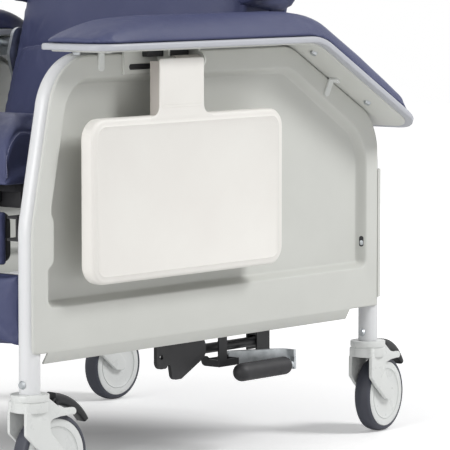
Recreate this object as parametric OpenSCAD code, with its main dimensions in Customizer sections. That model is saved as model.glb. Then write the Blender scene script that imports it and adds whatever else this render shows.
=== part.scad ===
/* [Side frame] */
// Outside diameter of the side tubes
tube_d = 31.75; // [28:0.25:36]
// Wall of every steel tube
tube_wall = 2; // [1.5:0.25:2.5]
// Distance from the side of the back to the centre of the side tube beside it
back_gap = 58; // [52:1:70]
// Distance between the front and rear leg centres
wheelbase = 830; // [780:5:900]
// Height at which the front leg starts to lean back
knee_z = 400; // [385:1:415]
// Lean of the upper front leg in degrees
knee_lean = 12.1; // [8:0.1:14]
// Height of the centre of the tube under the armrest
arm_tube_z = 639; // [610:1:660]
// How far the tube under the armrest runs behind the chair's middle
arm_run_y = 170; // [140:1:190]
// Slope of the tube behind the armrest in degrees
arm_slope = 29; // [24:0.5:32]
// Bend radius of the knee
knee_bend = 150; // [100:5:200]
// Bend radius at the front and top of the armrest tube
arm_bend = 80; // [60:1:90]
// Bend radius at the top of the rear leg
rear_bend = 100; // [80:1:110]
// Height of the open lower end of each leg
leg_end_z = 156; // [150:1:170]
// Outside diameter of the lower rails and cross tubes
rail_d = 25.4; // [22:0.1:28]
// Height of the lower rails and cross tubes
rail_z = 236; // [230:1:245]
// Distance of each cross tube from the middle of the wheelbase
cross_y = 330; // [300:1:350]

/* [Casters] */
// Diameter of the tyre
wheel_d = 125; // [120:1:130]
// Width of the tyre
tyre_w = 30; // [26:1:32]
// Diameter of the white wheel inside the tyre
hub_d = 108; // [100:1:110]
// Distance from the stem to the axle
trail = 38; // [30:1:42]
// Diameter of the collar under the leg
collar_d = 58; // [52:1:62]
// Thickness of each fork cheek
cheek_t = 6; // [4:0.5:8]
// Diameter of the axle
axle_d = 12; // [8:0.5:14]
// Diameter of the pin that the fork swivels on
stem_pin_d = 16; // [12:0.5:18]
// Angles to which the casters are turned at rest, front left first
caster_turns = [8, -4, -7, 1]; // [-20:1:20]
// Angle covered by the curved brake pedal
brake_arc = 52; // [40:1:56]

/* [Side panel] */
// Wall of the moulded side panel
panel_t = 3; // [2:0.25:4]
// Gap between the side tube and the panel in front of it
panel_gap = 1.1; // [0.5:0.1:2]
// Depth of the recess
recess_depth = 16; // [8:0.5:16]
// Slope of the recess walls, measured along the panel
recess_draft = 10; // [4:0.5:14]
// Height of the panel's lower edge
panel_low_z = 215; // [205:1:222]
// Height of the plain band under the recess
band_h = 64; // [50:1:75]
// Width of the rim in front of the recess
rim_front = 31; // [26:1:38]
// Width of the rim over the recess
rim_top = 32; // [26:1:38]
// Width of the rim behind the recess
rim_rear = 36; // [30:1:42]
// How far the panel's side wall turns in towards the chair
panel_return = 16; // [10:1:18]
// Height of the lip that is turned in under the band
lip_h = 17; // [12:1:20]
// How far the lip turns in
lip_in = 10; // [6:1:12]

/* [Armrest] */
// How far each armrest reaches inside the centre of its side tube
arm_lap = 37; // [30:1:38]
// Width of each armrest
arm_w = 127; // [110:1:140]
// Thickness of the armrest's base board
base_t = 12.5; // [10:0.5:16]
// Distance of the armrest's front end from the middle of the wheelbase
arm_front = 351; // [320:1:370]
// Distance of the armrest's rear end from the middle of the wheelbase
arm_rear = 443; // [420:1:450]
// Where the armrest starts to slope
arm_turn_y = 178; // [160:1:190]
// Slope of the armrest's rear part in degrees
arm_fall = 29.7; // [24:0.1:32]
// Thickness of the armrest pad
pad_t = 37; // [34:1:46]

/* [Tray] */
// Length of each side tray
tray_l = 453; // [420:1:480]
// Height of the hanging tray
tray_h = 245; // [220:1:260]
// Thickness of the tray
tray_t = 24; // [20:1:26]
// Distance from the centre of the side tube to the tray's outer face
tray_out = 63; // [60:1:68]
// Height of the tray's lower edge
tray_low_z = 312; // [300:1:320]
// Distance of the tray's front edge from the middle of the wheelbase
tray_front = 346; // [330:1:360]
// Corner radius of the tray
tray_corner = 30; // [20:1:40]
// Width of the neck that carries the tray
neck_w = 104; // [90:1:110]
// Distance from the tray's front edge to its neck
neck_place = 154; // [140:1:170]
// Height of the tray's hinge pin
tray_pin_z = 638; // [630:1:638]
// Diameter of the tray's hinge pin
tray_pin_d = 8; // [6:0.5:8]

/* [Seat] */
// Width of the seat cushion
seat_w = 490; // [460:2:496]
// Height of the seat cushion's top
seat_top_z = 562; // [540:1:566]
// Thickness of the seat cushion
seat_t = 104; // [90:1:110]
// Distance of the seat cushion's front from the middle of the wheelbase
seat_front = 405; // [390:1:410]
// Place of the seat cushion's rear end, behind the middle of the wheelbase
seat_rear = 49; // [30:1:50]
// Radius of the soft front edge of the seat
seat_nose = 62; // [45:1:70]
// Thickness of the seat board
board_t = 12; // [9:1:14]
// How far the seat glides forward
glide = 80; // [60:1:84]
// Height of the nylon glides that carry the seat in its runners
glide_h = 28; // [24:1:30]
// Height of the middle of the seat's runners
runner_z = 398; // [390:1:400]

/* [Back] */
// Height of the back's pivot
pivot_z = 645; // [640:1:650]
// Place of the back's pivot, behind the middle of the wheelbase
pivot_y = 150; // [140:1:152]
// Lean of the upright back in degrees
back_lean = 17; // [12:0.5:20]
// Width of the back between its wings
back_w = 480; // [460:2:484]
// Distance from the pivot to the face of the back cushion
back_face = 45; // [40:1:50]
// Distance from the pivot to the rear face of the back
back_rear = 97; // [90:1:100]
// Distance from the pivot down to the back's lower end
back_down = 175; // [165:1:176]
// Distance from the pivot up to the back's top
back_up = 528; // [480:1:560]
// Thickness of the wooden back frame
back_frame_t = 30; // [24:1:36]
// Width of each wing
wing_w = 52; // [40:1:54]
// How far the wings reach forward of the cushion beside the head
wing_reach = 46; // [30:1:60]
// Outside diameter of the push handle
push_d = 25; // [22:0.5:28]
// Width of the push handle between its bends
push_w = 380; // [340:2:400]

/* [Leg rest] */
// Distance of the leg rest's hinge from the middle of the wheelbase
leg_hinge_y = 380; // [376:1:384]
// Height of the leg rest's hinge
leg_hinge_z = 444; // [442:1:446]
// Width of the calf pad
calf_w = 470; // [440:2:490]
// Height of the calf pad's top
calf_top_z = 421; // [416:1:424]
// Height of the calf pad's lower edge
calf_low_z = 338; // [330:1:345]
// Width of the foot pad
foot_w = 536; // [500:2:540]
// Height of the foot pad's top
foot_top_z = 330; // [322:1:330]
// Height of the foot pad's lower edge
foot_low_z = 219; // [210:1:225]
// Distance of the pads' faces from the middle of the wheelbase
leg_face_y = 421; // [412:1:424]
// Thickness of the calf and foot pads
leg_pad_t = 30; // [24:1:32]

/* [Recline drive] */
// Diameter of the gas spring's cylinder
spring_d = 16; // [14:0.5:20]
// Diameter of the gas spring's rod
rod_d = 8; // [6:0.5:10]
// Height of the gas spring
spring_z = 171; // [169:0.5:174]
// Distance from the centre of the side tube in to the gas spring
spring_in = 61; // [60:1:64]
// Thickness of the drive plates
drive_t = 6; // [4:0.5:6]
// Diameter of the pedal's grip
grip_d = 29; // [24:1:32]
// Length of the pedal's grip
grip_l = 123; // [110:1:130]
// Distance from the centre of the side tube out to the grip
grip_out = 2; // [0:1:8]

/* [Hidden] */

$fn = 48;
// Overrun of every cut
cut = 1;
// Gap left between two pieces that are seated on each other
seat_gap = 0.2;
// Radial clearance of every running pin
run_gap = 0.05;
// Clearance between pieces that move past each other
pass_gap = 0.4;
// Small edge radius of moulded and sheet pieces
small_r = 4;

tube_r = tube_d / 2;
tube_x = back_w / 2 + back_gap;
rail_r = rail_d / 2;
wheel_r = wheel_d / 2;
collar_r = collar_d / 2;
leg_y = wheelbase / 2;
origin_y = (trail + wheel_r - collar_r) / 2;

// Corners of the side tube's centre line, as rearward distance and height
tube_corners = [[-leg_y, leg_end_z], [-leg_y, knee_z],
    [-leg_y + (arm_tube_z - knee_z) * tan(knee_lean), arm_tube_z], [arm_run_y, arm_tube_z],
    [leg_y, arm_tube_z - (leg_y - arm_run_y) * tan(arm_slope)], [leg_y, leg_end_z]];
tube_bends = [0, knee_bend, arm_bend, arm_bend, rear_bend, 0];

function unit(v) = v / norm(v);
function heading(a, b) = atan2(b.y - a.y, b.x - a.x);
function wrap(a) = a > 180 ? a - 360 : a < -180 ? a + 360 : a;
function mix(a, b, s) = a + (b - a) * s;
function clamp(v) = max(0, min(1, v));

// Arc that rounds the corner b between a and c
function corner_arc(a, b, c, n) =
    let (p = [b.x, b.y], da = unit([a.x, a.y] - p), dc = unit([c.x, c.y] - p))
    norm(da + dc) < 0.001
        ? [for (k = [0:n]) p + dc * b.z * (k / n - 0.5)]
        : let (half = acos(max(-1, min(1, da * dc))) / 2,
               o = p + unit(da + dc) * b.z / sin(half),
               s = heading(o, p + da * b.z / tan(half)),
               e = heading(o, p + dc * b.z / tan(half)))
          [for (k = [0:n]) o + b.z * [cos(s + wrap(e - s) * k / n), sin(s + wrap(e - s) * k / n)]];

// Closed outline with every corner [x, y, radius] rounded
function rounded(c, n) = [for (i = [0:len(c) - 1])
    each corner_arc(c[(i + len(c) - 1) % len(c)], c[i], c[(i + 1) % len(c)], n)];

function rectangle(x0, y0, x1, y1, r) = [[x0, y0, r], [x1, y0, r], [x1, y1, r], [x0, y1, r]];
function level(ring, z) = [for (p = ring) [p.x, p.y, z]];

// Solid between rings that have the same number of points, listed upwards
module stack(rings) {
    n = len(rings[0]);
    m = len(rings);
    polyhedron([for (r = rings) each r], concat(
        [for (k = [0:m - 2]) for (i = [0:n - 1]) let (j = (i + 1) % n)
            each [[k * n + i, (k + 1) * n + i, (k + 1) * n + j], [k * n + i, (k + 1) * n + j, k * n + j]]],
        [[for (i = [0:n - 1]) i]], [[for (i = [n - 1:-1:0]) (m - 1) * n + i]]));
}

// Solid between an upper and a lower sheet of points with the same rows
module skin(upper, lower) {
    nu = len(upper);
    nv = len(upper[0]);
    n = nu * nv;
    edge = concat([for (i = [0:nu - 1]) i * nv], [for (j = [1:nv - 1]) (nu - 1) * nv + j],
        [for (i = [nu - 2:-1:0]) i * nv + nv - 1], [for (j = [nv - 2:-1:1]) j]);
    polyhedron(concat([for (r = upper) each r], [for (r = lower) each r]), concat(
        [for (i = [0:nu - 2]) for (j = [0:nv - 2]) let (a = i * nv + j, b = a + nv)
            each [[a, a + 1, b + 1], [a, b + 1, b], [n + a, n + b + 1, n + a + 1],
                [n + a, n + b, n + b + 1]]],
        [for (k = [0:len(edge) - 1]) let (a = edge[k], b = edge[(k + 1) % len(edge)])
            each [[a, b, n + b], [a, n + b, n + a]]]));
}

// A bent tube swells slightly in its bends, and its straight parts run that far into them
bend_swell = 0.25;
bend_lap = 2;
// Round bar through planar corners with the given bend radii
module bent_bar(corners, bends, r, over = 0) {
    last = len(corners) - 1;
    function take(i) = i <= 0 || i >= last ? -over : bends[i]
        * tan(abs(wrap(heading(corners[i], corners[i + 1]) - heading(corners[i - 1], corners[i]))) / 2);
    for (i = [0:last - 1]) {
        a = heading(corners[i], corners[i + 1]);
        lap0 = i > 0 ? bend_lap : 0;
        lap1 = i < last - 1 ? bend_lap : 0;
        p = corners[i] + (take(i) - lap0) * [cos(a), sin(a)];
        l = norm(corners[i + 1] - corners[i]) - take(i) - take(i + 1) + lap0 + lap1;
        translate([p.x, p.y, 0]) rotate([0, 0, a]) rotate([0, 90, 0]) cylinder(h = l, r = r);
        if (i > 0) {
            before = heading(corners[i - 1], corners[i]);
            turn = wrap(a - before);
            side = sign(turn);
            start = corners[i] - take(i) * [cos(before), sin(before)];
            o = start + bends[i] * [cos(before + side * 90), sin(before + side * 90)];
            translate([o.x, o.y, 0]) rotate([0, 0, before - side * 90 + min(0, turn)])
                rotate_extrude(angle = abs(turn)) translate([bends[i], 0]) circle(r = r + bend_swell);
        }
    }
}

module bent_tube(corners, bends, r) {
    difference() {
        bent_bar(corners, bends, r);
        bent_bar(corners, bends, r - tube_wall, cut);
    }
}

// Puts a drawing of rearward distance and height into the plane at x
module in_side(x) { translate([x, 0, 0]) rotate([90, 0, 90]) children(); }
module seated() { translate([0, -origin_y, 0]) children(); }
module on_side(side) { mirror([side < 0 ? 1 : 0, 0, 0]) children(); }
module bar_x(x0, x1, r) { translate([x0, 0, 0]) rotate([0, 90, 0]) cylinder(h = x1 - x0, r = r); }
module bar_y(y0, y1, r) { translate([0, y0, 0]) rotate([-90, 0, 0]) cylinder(h = y1 - y0, r = r); }
module block(low, high) { translate(low) cube(high - low); }

module side_frame(side) {
    color("gainsboro") seated() on_side(side) difference() {
        union() {
            in_side(tube_x) bent_tube(tube_corners, tube_bends, tube_r);
            translate([tube_x, 0, rail_z]) difference() {
                bar_y(-leg_y, leg_y, rail_r);
                bar_y(-leg_y, leg_y, rail_r - tube_wall);
                for (y = [-leg_y, leg_y]) translate([0, y, -tube_d])
                    cylinder(h = 2 * tube_d, r = tube_r - tube_wall / 2);
            }
        }
        for (y = [-leg_y, leg_y]) translate([tube_x, y, stem_bolt_z])
            bar_y(-tube_d, 0, bolt_d / 2 + run_gap);
    }
}
module side_frame_left() side_frame(1);
module side_frame_right() side_frame(-1);

// Cross tubes, with their ends cut to the rails that they are welded to
module cross_tubes() color("gainsboro") seated() for (y = [-cross_y, cross_y]) translate([0, y, rail_z])
    difference() {
        bar_x(-tube_x, tube_x, rail_r);
        bar_x(-tube_x - cut, tube_x + cut, rail_r - tube_wall);
        for (x = [-tube_x, tube_x]) translate([x, 0, 0]) bar_y(-tube_d, tube_d, rail_r + seat_gap);
    }

// Seat runners: channels that open towards the seat
runner_out = tube_x - tube_r - seat_gap;
runner_w = 20;
runner_web = 3;
runner_flange = 4;
glide_play = 0.3;
runner_in = runner_out - runner_w;
runner_slot = glide_h / 2 + glide_play;
runner_end = leg_y + tube_r / 2;
module seat_rails() color("dimgray") seated() for (s = [-1, 1]) on_side(s) difference() {
    block([runner_in, -runner_end, runner_z - runner_slot - runner_flange],
        [runner_out, runner_end, runner_z + runner_slot + runner_flange]);
    block([runner_in - cut, -runner_end - cut, runner_z - runner_slot],
        [runner_out - runner_web, runner_end + cut, runner_z + runner_slot]);
}

// Side panel: corners [rearward, height, radius], first the outer outline and then the recess
panel_x = tube_x + tube_r + panel_gap + panel_t;
panel_lap = 13;
panel_top_lap = 11;
panel_edge = 1.5;
panel_steps = 6;
panel_low_r = 9;
panel_front_r = 85;
panel_slope_r = 60;
panel_rear_r = 80;
panel_knee_r = 120;
panel_front_y = -leg_y - panel_lap;
panel_top_z = arm_tube_z + panel_top_lap;
panel_turn_y = arm_run_y + panel_top_lap;
panel_slope_z = panel_top_z - (leg_y - panel_turn_y) * tan(arm_slope);
tab_shares = [0.91, 0.85, 0.72, 0.65];
panel_outline = let (low = [panel_front_y, panel_low_z], knee = [panel_front_y, knee_z]) [
    [low.x, low.y, panel_low_r], [leg_y, panel_low_z, panel_low_r], [leg_y, panel_slope_z, panel_rear_r],
    [panel_turn_y, panel_top_z, panel_slope_r],
    [panel_front_y + (panel_top_z - knee_z) * tan(knee_lean), panel_top_z, panel_front_r],
    [knee.x, knee.y, panel_knee_r],
    each [for (s = tab_shares) let (p = mix(low, knee, s)) [p.x, p.y, panel_edge]]];
recess_low_z = panel_low_z + band_h;
recess_front_y = panel_front_y + rim_front;
recess_rear_y = leg_y + panel_edge * 4 - rim_rear;
recess_top_z = panel_top_z - rim_top;
recess_low_r = 12;
recess_top_r = 52;
recess_tab_w = 13;
recess_tab_low = 124;
recess_tab_h = 70;
recess_tab_r = 5;
recess_tab_bevel = 10;
recess_knee_z = panel_low_z + recess_tab_low + recess_tab_h + 2 * recess_tab_bevel;
recess_knee_share = 0.6;
recess_knee_y = recess_front_y + recess_tab_w * recess_knee_share;
recess_turn_y = arm_run_y + rim_top * 0.4;
recess_slope = arm_slope + 2;
recess_outline = [
    [recess_front_y, recess_low_z, recess_low_r], [recess_rear_y, recess_low_z, recess_low_r],
    [recess_rear_y, recess_top_z - (recess_rear_y - recess_turn_y) * tan(recess_slope), panel_rear_r],
    [recess_turn_y, recess_top_z, panel_slope_r],
    [recess_knee_y + (recess_top_z - recess_knee_z) * tan(knee_lean), recess_top_z, recess_top_r],
    [recess_knee_y, recess_knee_z, panel_knee_r / 4],
    [recess_knee_y, panel_low_z + recess_tab_low + recess_tab_h + recess_tab_bevel, recess_tab_r / 2],
    [recess_front_y + recess_tab_w, panel_low_z + recess_tab_low + recess_tab_h, recess_tab_r],
    [recess_front_y + recess_tab_w, panel_low_z + recess_tab_low + recess_tab_bevel, recess_tab_r],
    [recess_front_y, panel_low_z + recess_tab_low, recess_tab_r]];

// Corners of an outline moved inwards by d, for corners listed with the inside on the left
function inset(c, d) = [for (i = [0:len(c) - 1])
    let (n = len(c), a = c[(i + n - 1) % n], b = c[i], e = c[(i + 1) % n],
        p = unit([b.x - a.x, b.y - a.y]), q = unit([e.x - b.x, e.y - b.y]),
        np = [-p.y, p.x], nq = [-q.y, q.x], m = (np + nq) * d / (1 + np * nq),
        bulge = p.x * q.y - p.y * q.x)
    [b.x + m.x, b.y + m.y, max(b.z / 3, b.z - d * sign(bulge))]];

panel_notch = 14;
key_slot_y = recess_rear_y - recess_draft / 2;
key_slot_up = 108;
key_slot_z = panel_low_z + key_slot_up;
key_slot_r = 4.5;
lip_clear = 1;
lip_front = leg_y - tube_r - lip_clear;
lip_cutback = 75;
lip_rear = leg_y - lip_cutback;
wrap_low = panel_low_z + panel_notch;
wrap_top = panel_slope_z - panel_rear_r * tan((90 - arm_slope) / 2) - panel_edge;
wrap_turn = 100;
wrap_back = 8;
slit_w = 15;
slit_h = 4;
slit_up = 5;
module side_panel(side) {
    outer = rounded(panel_outline, panel_steps);
    trimmed = rounded(inset(panel_outline, panel_edge), panel_steps);
    rim = rounded(recess_outline, panel_steps);
    foot = rounded(inset(recess_outline, recess_draft), panel_steps);
    color("silver") seated() on_side(side) difference() {
        union() {
            in_side(0) stack([level(foot, panel_x - recess_depth - panel_t), level(rim, panel_x - panel_t),
                level(outer, panel_x - panel_t), level(outer, panel_x - panel_edge),
                    level(trimmed, panel_x),
                level(rim, panel_x), level(foot, panel_x - recess_depth)]);
            translate([0, lip_rear, 0]) rotate([90, 0, 0]) linear_extrude(lip_rear + lip_front) polygon([
                [panel_x - panel_t * 0.7, panel_low_z + panel_t],
                    [panel_x - panel_t * 0.7, panel_low_z + panel_t * 0.4],
                [panel_x - lip_in - panel_t, panel_low_z - lip_h + panel_edge],
                [panel_x - lip_in, panel_low_z - lip_h], [panel_x - panel_t * 0.3,
                    panel_low_z + panel_t * 0.4],
                [panel_x - panel_t * 0.3, panel_low_z + panel_t]]);
            translate([tube_x, leg_y, wrap_low - cut]) rotate([0, 0, -wrap_back])
                rotate_extrude(angle = wrap_turn + wrap_back)
                translate([tube_r + panel_gap + panel_t * 0.13, 0])
                    square([panel_t * 0.74, wrap_top - wrap_low + cut]);
        }
        block([panel_x - lip_in * 2, panel_front_y - cut, panel_low_z - lip_h * 2],
            [panel_x + cut, -lip_front, wrap_low]);
        block([tube_x - tube_d, leg_y - tube_r * 2.6, panel_low_z - cut],
            [panel_x + cut, leg_y + tube_d, wrap_low]);
        block([panel_x - lip_in * 2, -lip_front - cut, panel_low_z + slit_up],
            [panel_x + cut, -lip_front + slit_w, panel_low_z + slit_up + slit_h]);
        for (z = [-key_slot_r / 2, key_slot_r / 2]) translate([0, key_slot_y, key_slot_z + z])
            bar_x(panel_x - recess_depth * 2, panel_x + cut, key_slot_r);
    }
}
module side_panel_left() side_panel(1);
module side_panel_right() side_panel(-1);

// Bolts and their places under the armrest, from the tube and from the ends
bolt_d = 6;
bolt_head = 13;
bolt_head_h = 4;
bolt_grip = 9;
bolt_up = 14;
stem_bolt_z = leg_end_z + bolt_up;
bolt_outs = [22, 50, 42];
bolt_ends = [17, 27, 88];

// Armrest
arm_in_x = tube_x - arm_lap;
arm_out_x = arm_in_x + arm_w;
base_low_z = arm_tube_z + tube_r + seat_gap;
base_turn_y = arm_run_y + (tube_r + seat_gap) * tan(arm_slope / 2);
base_corner = 34;
base_in_corner = 10;
base_bend = arm_bend + tube_r + seat_gap;
base_steps = 6;
base_rear_corner = base_corner * 1.4;
arm_bolts = [[tube_x + bolt_outs[0], -arm_front + bolt_ends[0]],
    [tube_x + bolt_outs[1], base_turn_y + bolt_ends[1]],
    [tube_x + bolt_outs[2], arm_rear - bolt_ends[2]]];
// Places a drawing at every bolt under the armrest
module at_arm_bolts() for (p = arm_bolts) {
    fall = max(0, p.y - base_turn_y);
    translate([p.x, p.y, base_low_z - fall * tan(arm_slope)])
        rotate([fall > 0 ? -arm_slope : 0, 0, 0]) children();
}
module armrest_base(side) {
    rise = base_t / cos(arm_slope);
    fall = (arm_rear - base_turn_y) * tan(arm_slope);
    profile = [[-arm_front, base_low_z, panel_edge], [base_turn_y, base_low_z, base_bend],
        [arm_rear, base_low_z - fall, base_t / 3], [arm_rear, base_low_z - fall + rise, base_t / 4],
        [base_turn_y + base_t * tan(arm_slope / 2), base_low_z + base_t, base_bend + base_t],
        [-arm_front, base_low_z + base_t, panel_edge]];
    plan = rounded([[arm_in_x, -arm_front, base_in_corner], [arm_out_x, -arm_front, base_corner],
        [arm_out_x, arm_rear, base_rear_corner], [arm_in_x, arm_rear, base_in_corner]], base_steps);
    color("lightsteelblue") seated() on_side(side) difference() {
        intersection() {
            in_side(arm_in_x) linear_extrude(arm_w) polygon(rounded(profile, base_steps));
            translate([0, 0, base_low_z - fall - cut]) linear_extrude(fall + base_t + 2 * cut)
                polygon(plan);
        }
        at_arm_bolts() translate([0, 0, -cut]) cylinder(h = bolt_grip + cut + pass_gap,
            r = bolt_d / 2 + run_gap);
    }
}
module armrest_base_left() armrest_base(1);
module armrest_base_right() armrest_base(-1);

// Padded top of the armrest, drawn over the board from the front station to the rear
pad_inset = 3;
pad_side = 9;
pad_front_run = 110;
pad_rear_run = 150;
pad_rear_t = 27;
pad_front_t = 12;
pad_width_shares = [-1, -0.93, -0.8, -0.55, -0.2, 0.2, 0.55, 0.8, 0.93, 1];
bend_ends = let (k = base_turn_y + base_t * tan(arm_slope / 2),
    h = (base_bend + base_t) * tan(arm_slope / 2))
    [k - h, k + h * cos(arm_slope)];
bend_shares = [for (y = bend_ends) (y + arm_front - pad_inset) / (arm_front + arm_rear - 2 * pad_inset)];
pad_length_shares = [0, 0.012, 0.035, 0.07, 0.11, 0.16, 0.24, 0.4, 0.55,
    each [for (k = [0:base_steps]) mix(bend_shares[0], bend_shares[1], k / base_steps)],
    0.75, 0.82, 0.9, 0.95, 0.98, 1];
pad_end_share = 0.55;
function corner_in(d, r) = d >= r ? 0 : r - sqrt(r * r - (r - d) * (r - d));
function board_top(y) = let (k = base_turn_y + base_t * tan(arm_slope / 2), b = base_bend + base_t,
        h = b * tan(arm_slope / 2), z = base_low_z + base_t)
    y <= k - h ? z : y >= k + h * cos(arm_slope) ? z - (y - k) * tan(arm_slope)
        : z - b + sqrt(b * b - (y - k + h) * (y - k + h));
function pad_thick(y) = let (f = clamp((y + arm_front - pad_inset) / pad_front_run),
        r = clamp((arm_rear - pad_inset - y) / pad_rear_run))
    mix(pad_front_t, pad_t, sin(90 * f)) * mix(pad_rear_t / pad_t, 1, sin(90 * r));
module armrest_pad(side) {
    l = arm_front + arm_rear - 2 * pad_inset;
    function place(u, s, up) = let (d = s * l, y = -arm_front + pad_inset + d,
            x0 = arm_in_x + pad_inset + corner_in(d, base_in_corner) + corner_in(l - d, base_in_corner),
            x1 = arm_out_x - pad_inset - corner_in(d, base_corner) - corner_in(l - d, base_rear_corner),
            end = mix(pad_end_share, 1, sin(90 * min(1, min(s, 1 - s) / pad_length_shares[2]))),
            swell = pow(1 - pow(abs(u), 4), 0.5) * end)
        [mix(x0, x1, (u + 1) / 2), y,
            board_top(y) + seat_gap + up * (pad_side / 2 + (pad_thick(y) - pad_side / 2) * swell)];
    color("darkslateblue") seated() on_side(side) skin(
        [for (u = pad_width_shares) [for (s = pad_length_shares) place(u, s, 1)]],
        [for (u = pad_width_shares) [for (s = pad_length_shares) place(u, s, 0)]]);
}
module armrest_pad_left() armrest_pad(1);
module armrest_pad_right() armrest_pad(-1);

// Tray hinge: a slotted plate under the armrest with two ears and a pin
tray_face_x = tube_x + tray_out;
tray_pin_x = tray_face_x - tray_t / 2;
ear_t = 4;
ear_gap = 1;
ear_r = 12;
inner_ear_r = 5.5;
inner_ear_place = 40;
neck_front = -tray_front + neck_place;
neck_rear = neck_front + neck_w;
bracket_reach = 37;
bracket_h = 36;
bracket_front = neck_front - bracket_reach;
bracket_x = panel_x + seat_gap + ear_t;
bracket_top = base_low_z - seat_gap;
inner_ear_y = neck_front + inner_ear_place;
outer_ear_y = neck_rear + ear_gap;
slot_l = 55;
slot_h = 9;
slot_in = 11;
slot_drop = 25.6;
slot_z = base_low_z - slot_drop;
module tray_bracket(side) {
    slot_low = bracket_front + slot_in + slot_h / 2;
    slot_high = slot_low + slot_l - slot_h;
    color("whitesmoke") seated() on_side(side) {
        difference() {
            block([bracket_x - ear_t, bracket_front, base_low_z - bracket_h],
                [bracket_x, outer_ear_y + ear_t, bracket_top]);
            for (y = [slot_low, slot_high]) translate([0, y, slot_z])
                bar_x(panel_x, bracket_x + cut, slot_h / 2);
            block([panel_x, slot_low, slot_z - slot_h / 2], [bracket_x + cut, slot_high,
                slot_z + slot_h / 2]);
        }
        block([bracket_x - cut, inner_ear_y, tray_pin_z - inner_ear_r],
            [tray_pin_x - inner_ear_r - seat_gap, inner_ear_y + ear_t, bracket_top]);
        block([bracket_x - cut, inner_ear_y, tray_pin_z - inner_ear_r],
            [tray_pin_x, inner_ear_y + ear_t, tray_pin_z + inner_ear_r]);
        block([bracket_x - cut, outer_ear_y, tray_pin_z - ear_r],
            [tray_pin_x, outer_ear_y + ear_t, bracket_top]);
        translate([tray_pin_x, 0, tray_pin_z]) {
            bar_y(inner_ear_y, inner_ear_y + ear_t, inner_ear_r);
            bar_y(outer_ear_y, outer_ear_y + ear_t, ear_r);
            bar_y(inner_ear_y, outer_ear_y + ear_t, tray_pin_d / 2);
        }
    }
}
module tray_bracket_left() tray_bracket(1);
module tray_bracket_right() tray_bracket(-1);

// Steel channel that swings on the pin and carries the tray
arm_skin = 3;
arm_drop = 96;
flange_play = 2;
arm_flange = tray_t - arm_skin - flange_play;
barrel_wall = 3.5;
barrel_r = tray_pin_d / 2 + barrel_wall;
neck_wall = 3;
module tray_arm(side) {
    x1 = tray_face_x - neck_wall - seat_gap;
    y0 = neck_front + neck_wall;
    y1 = neck_rear - neck_wall;
    color("tan") seated() on_side(side) difference() {
        union() {
            difference() {
                block([x1 - arm_flange, y0, tray_pin_z - arm_drop], [x1, y1, tray_pin_z]);
                block([x1 - arm_flange - cut, y0 + arm_skin, tray_pin_z - arm_drop - cut],
                    [x1 - arm_skin, y1 - arm_skin, tray_pin_z + cut]);
            }
            translate([tray_pin_x, 0, tray_pin_z]) bar_y(inner_ear_y + ear_t + ear_gap, y1, barrel_r);
        }
        translate([tray_pin_x, 0, tray_pin_z]) bar_y(inner_ear_y, neck_rear, tray_pin_d / 2 + run_gap);
    }
}
module tray_arm_left() tray_arm(1);
module tray_arm_right() tray_arm(-1);

// Moulded tray with its neck, a raised line round the face and a pocket for the steel channel
tray_edge = 5;
tray_line = 11;
tray_line_w = 1.6;
tray_line_h = 0.6;
neck_r = 10;
tray_steps = 6;
neck_over = 4;
neck_top_z = tray_pin_z + neck_over;
module tray(side) {
    box = rectangle(-tray_front, tray_low_z, -tray_front + tray_l, tray_low_z + tray_h, tray_corner);
    x0 = tray_face_x - tray_t;
    function ring(e, x) = level(rounded(inset(box, e), tray_steps), x);
    color("ivory") seated() on_side(side) {
        difference() {
            union() {
                in_side(0) stack([ring(tray_edge, x0), ring(tray_edge * 0.3, x0 + tray_edge * 0.3),
                    ring(0, x0 + tray_edge), ring(0, tray_face_x - tray_edge),
                    ring(tray_edge * 0.3, tray_face_x - tray_edge * 0.3), ring(tray_edge, tray_face_x)]);
                in_side(tray_face_x - neck_wall) linear_extrude(neck_wall) polygon(rounded([
                    [neck_front - neck_r * 2, tray_low_z + tray_h - tray_edge * 2, panel_edge],
                    [neck_rear + neck_r * 2, tray_low_z + tray_h - tray_edge * 2, panel_edge],
                    [neck_rear + neck_r * 2, tray_low_z + tray_h, panel_edge],
                        [neck_rear, tray_low_z + tray_h, neck_r],
                    [neck_rear, neck_top_z, panel_edge], [neck_front, neck_top_z, panel_edge],
                    [neck_front, tray_low_z + tray_h, neck_r],
                    [neck_front - neck_r * 2, tray_low_z + tray_h, panel_edge]], tray_steps));
            }
            block([x0 - cut, neck_front + neck_wall - seat_gap, tray_pin_z - arm_drop - seat_gap],
                [tray_face_x - neck_wall, neck_rear - neck_wall + seat_gap, tray_low_z + tray_h + cut]);
        }
        in_side(tray_face_x - tray_line_h) linear_extrude(tray_line_h * 2) difference() {
            polygon(rounded(inset(box, tray_line), tray_steps));
            polygon(rounded(inset(box, tray_line + tray_line_w), tray_steps));
        }
    }
}
module tray_left() tray(1);
module tray_right() tray(-1);

// Clips that hold the panel's rim under the armrest, as [rearward place, hanging length]
clip_w = 11;
clip_t = 3;
clip_l = 30;
clip_foot = 16;
clip_front_y = -278;
clip_rear_y = 285;
module clip(y, z, slope) translate([panel_x + seat_gap, y, z]) rotate([-slope, 0, 0]) {
    block([0, -clip_w / 2, -clip_l + clip_w / 2], [clip_t, clip_w / 2, -seat_gap]);
    translate([0, 0, -clip_l + clip_w / 2]) bar_x(0, clip_t, clip_w / 2);
    block([0, -clip_w / 2, -clip_t - seat_gap], [clip_foot, clip_w / 2, -seat_gap]);
}
module panel_clips() color("white") seated() for (s = [-1, 1]) on_side(s) {
    clip(clip_front_y, base_low_z, 0);
    clip(clip_rear_y, base_low_z - (clip_rear_y - base_turn_y) * tan(arm_slope), arm_slope);
}

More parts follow.
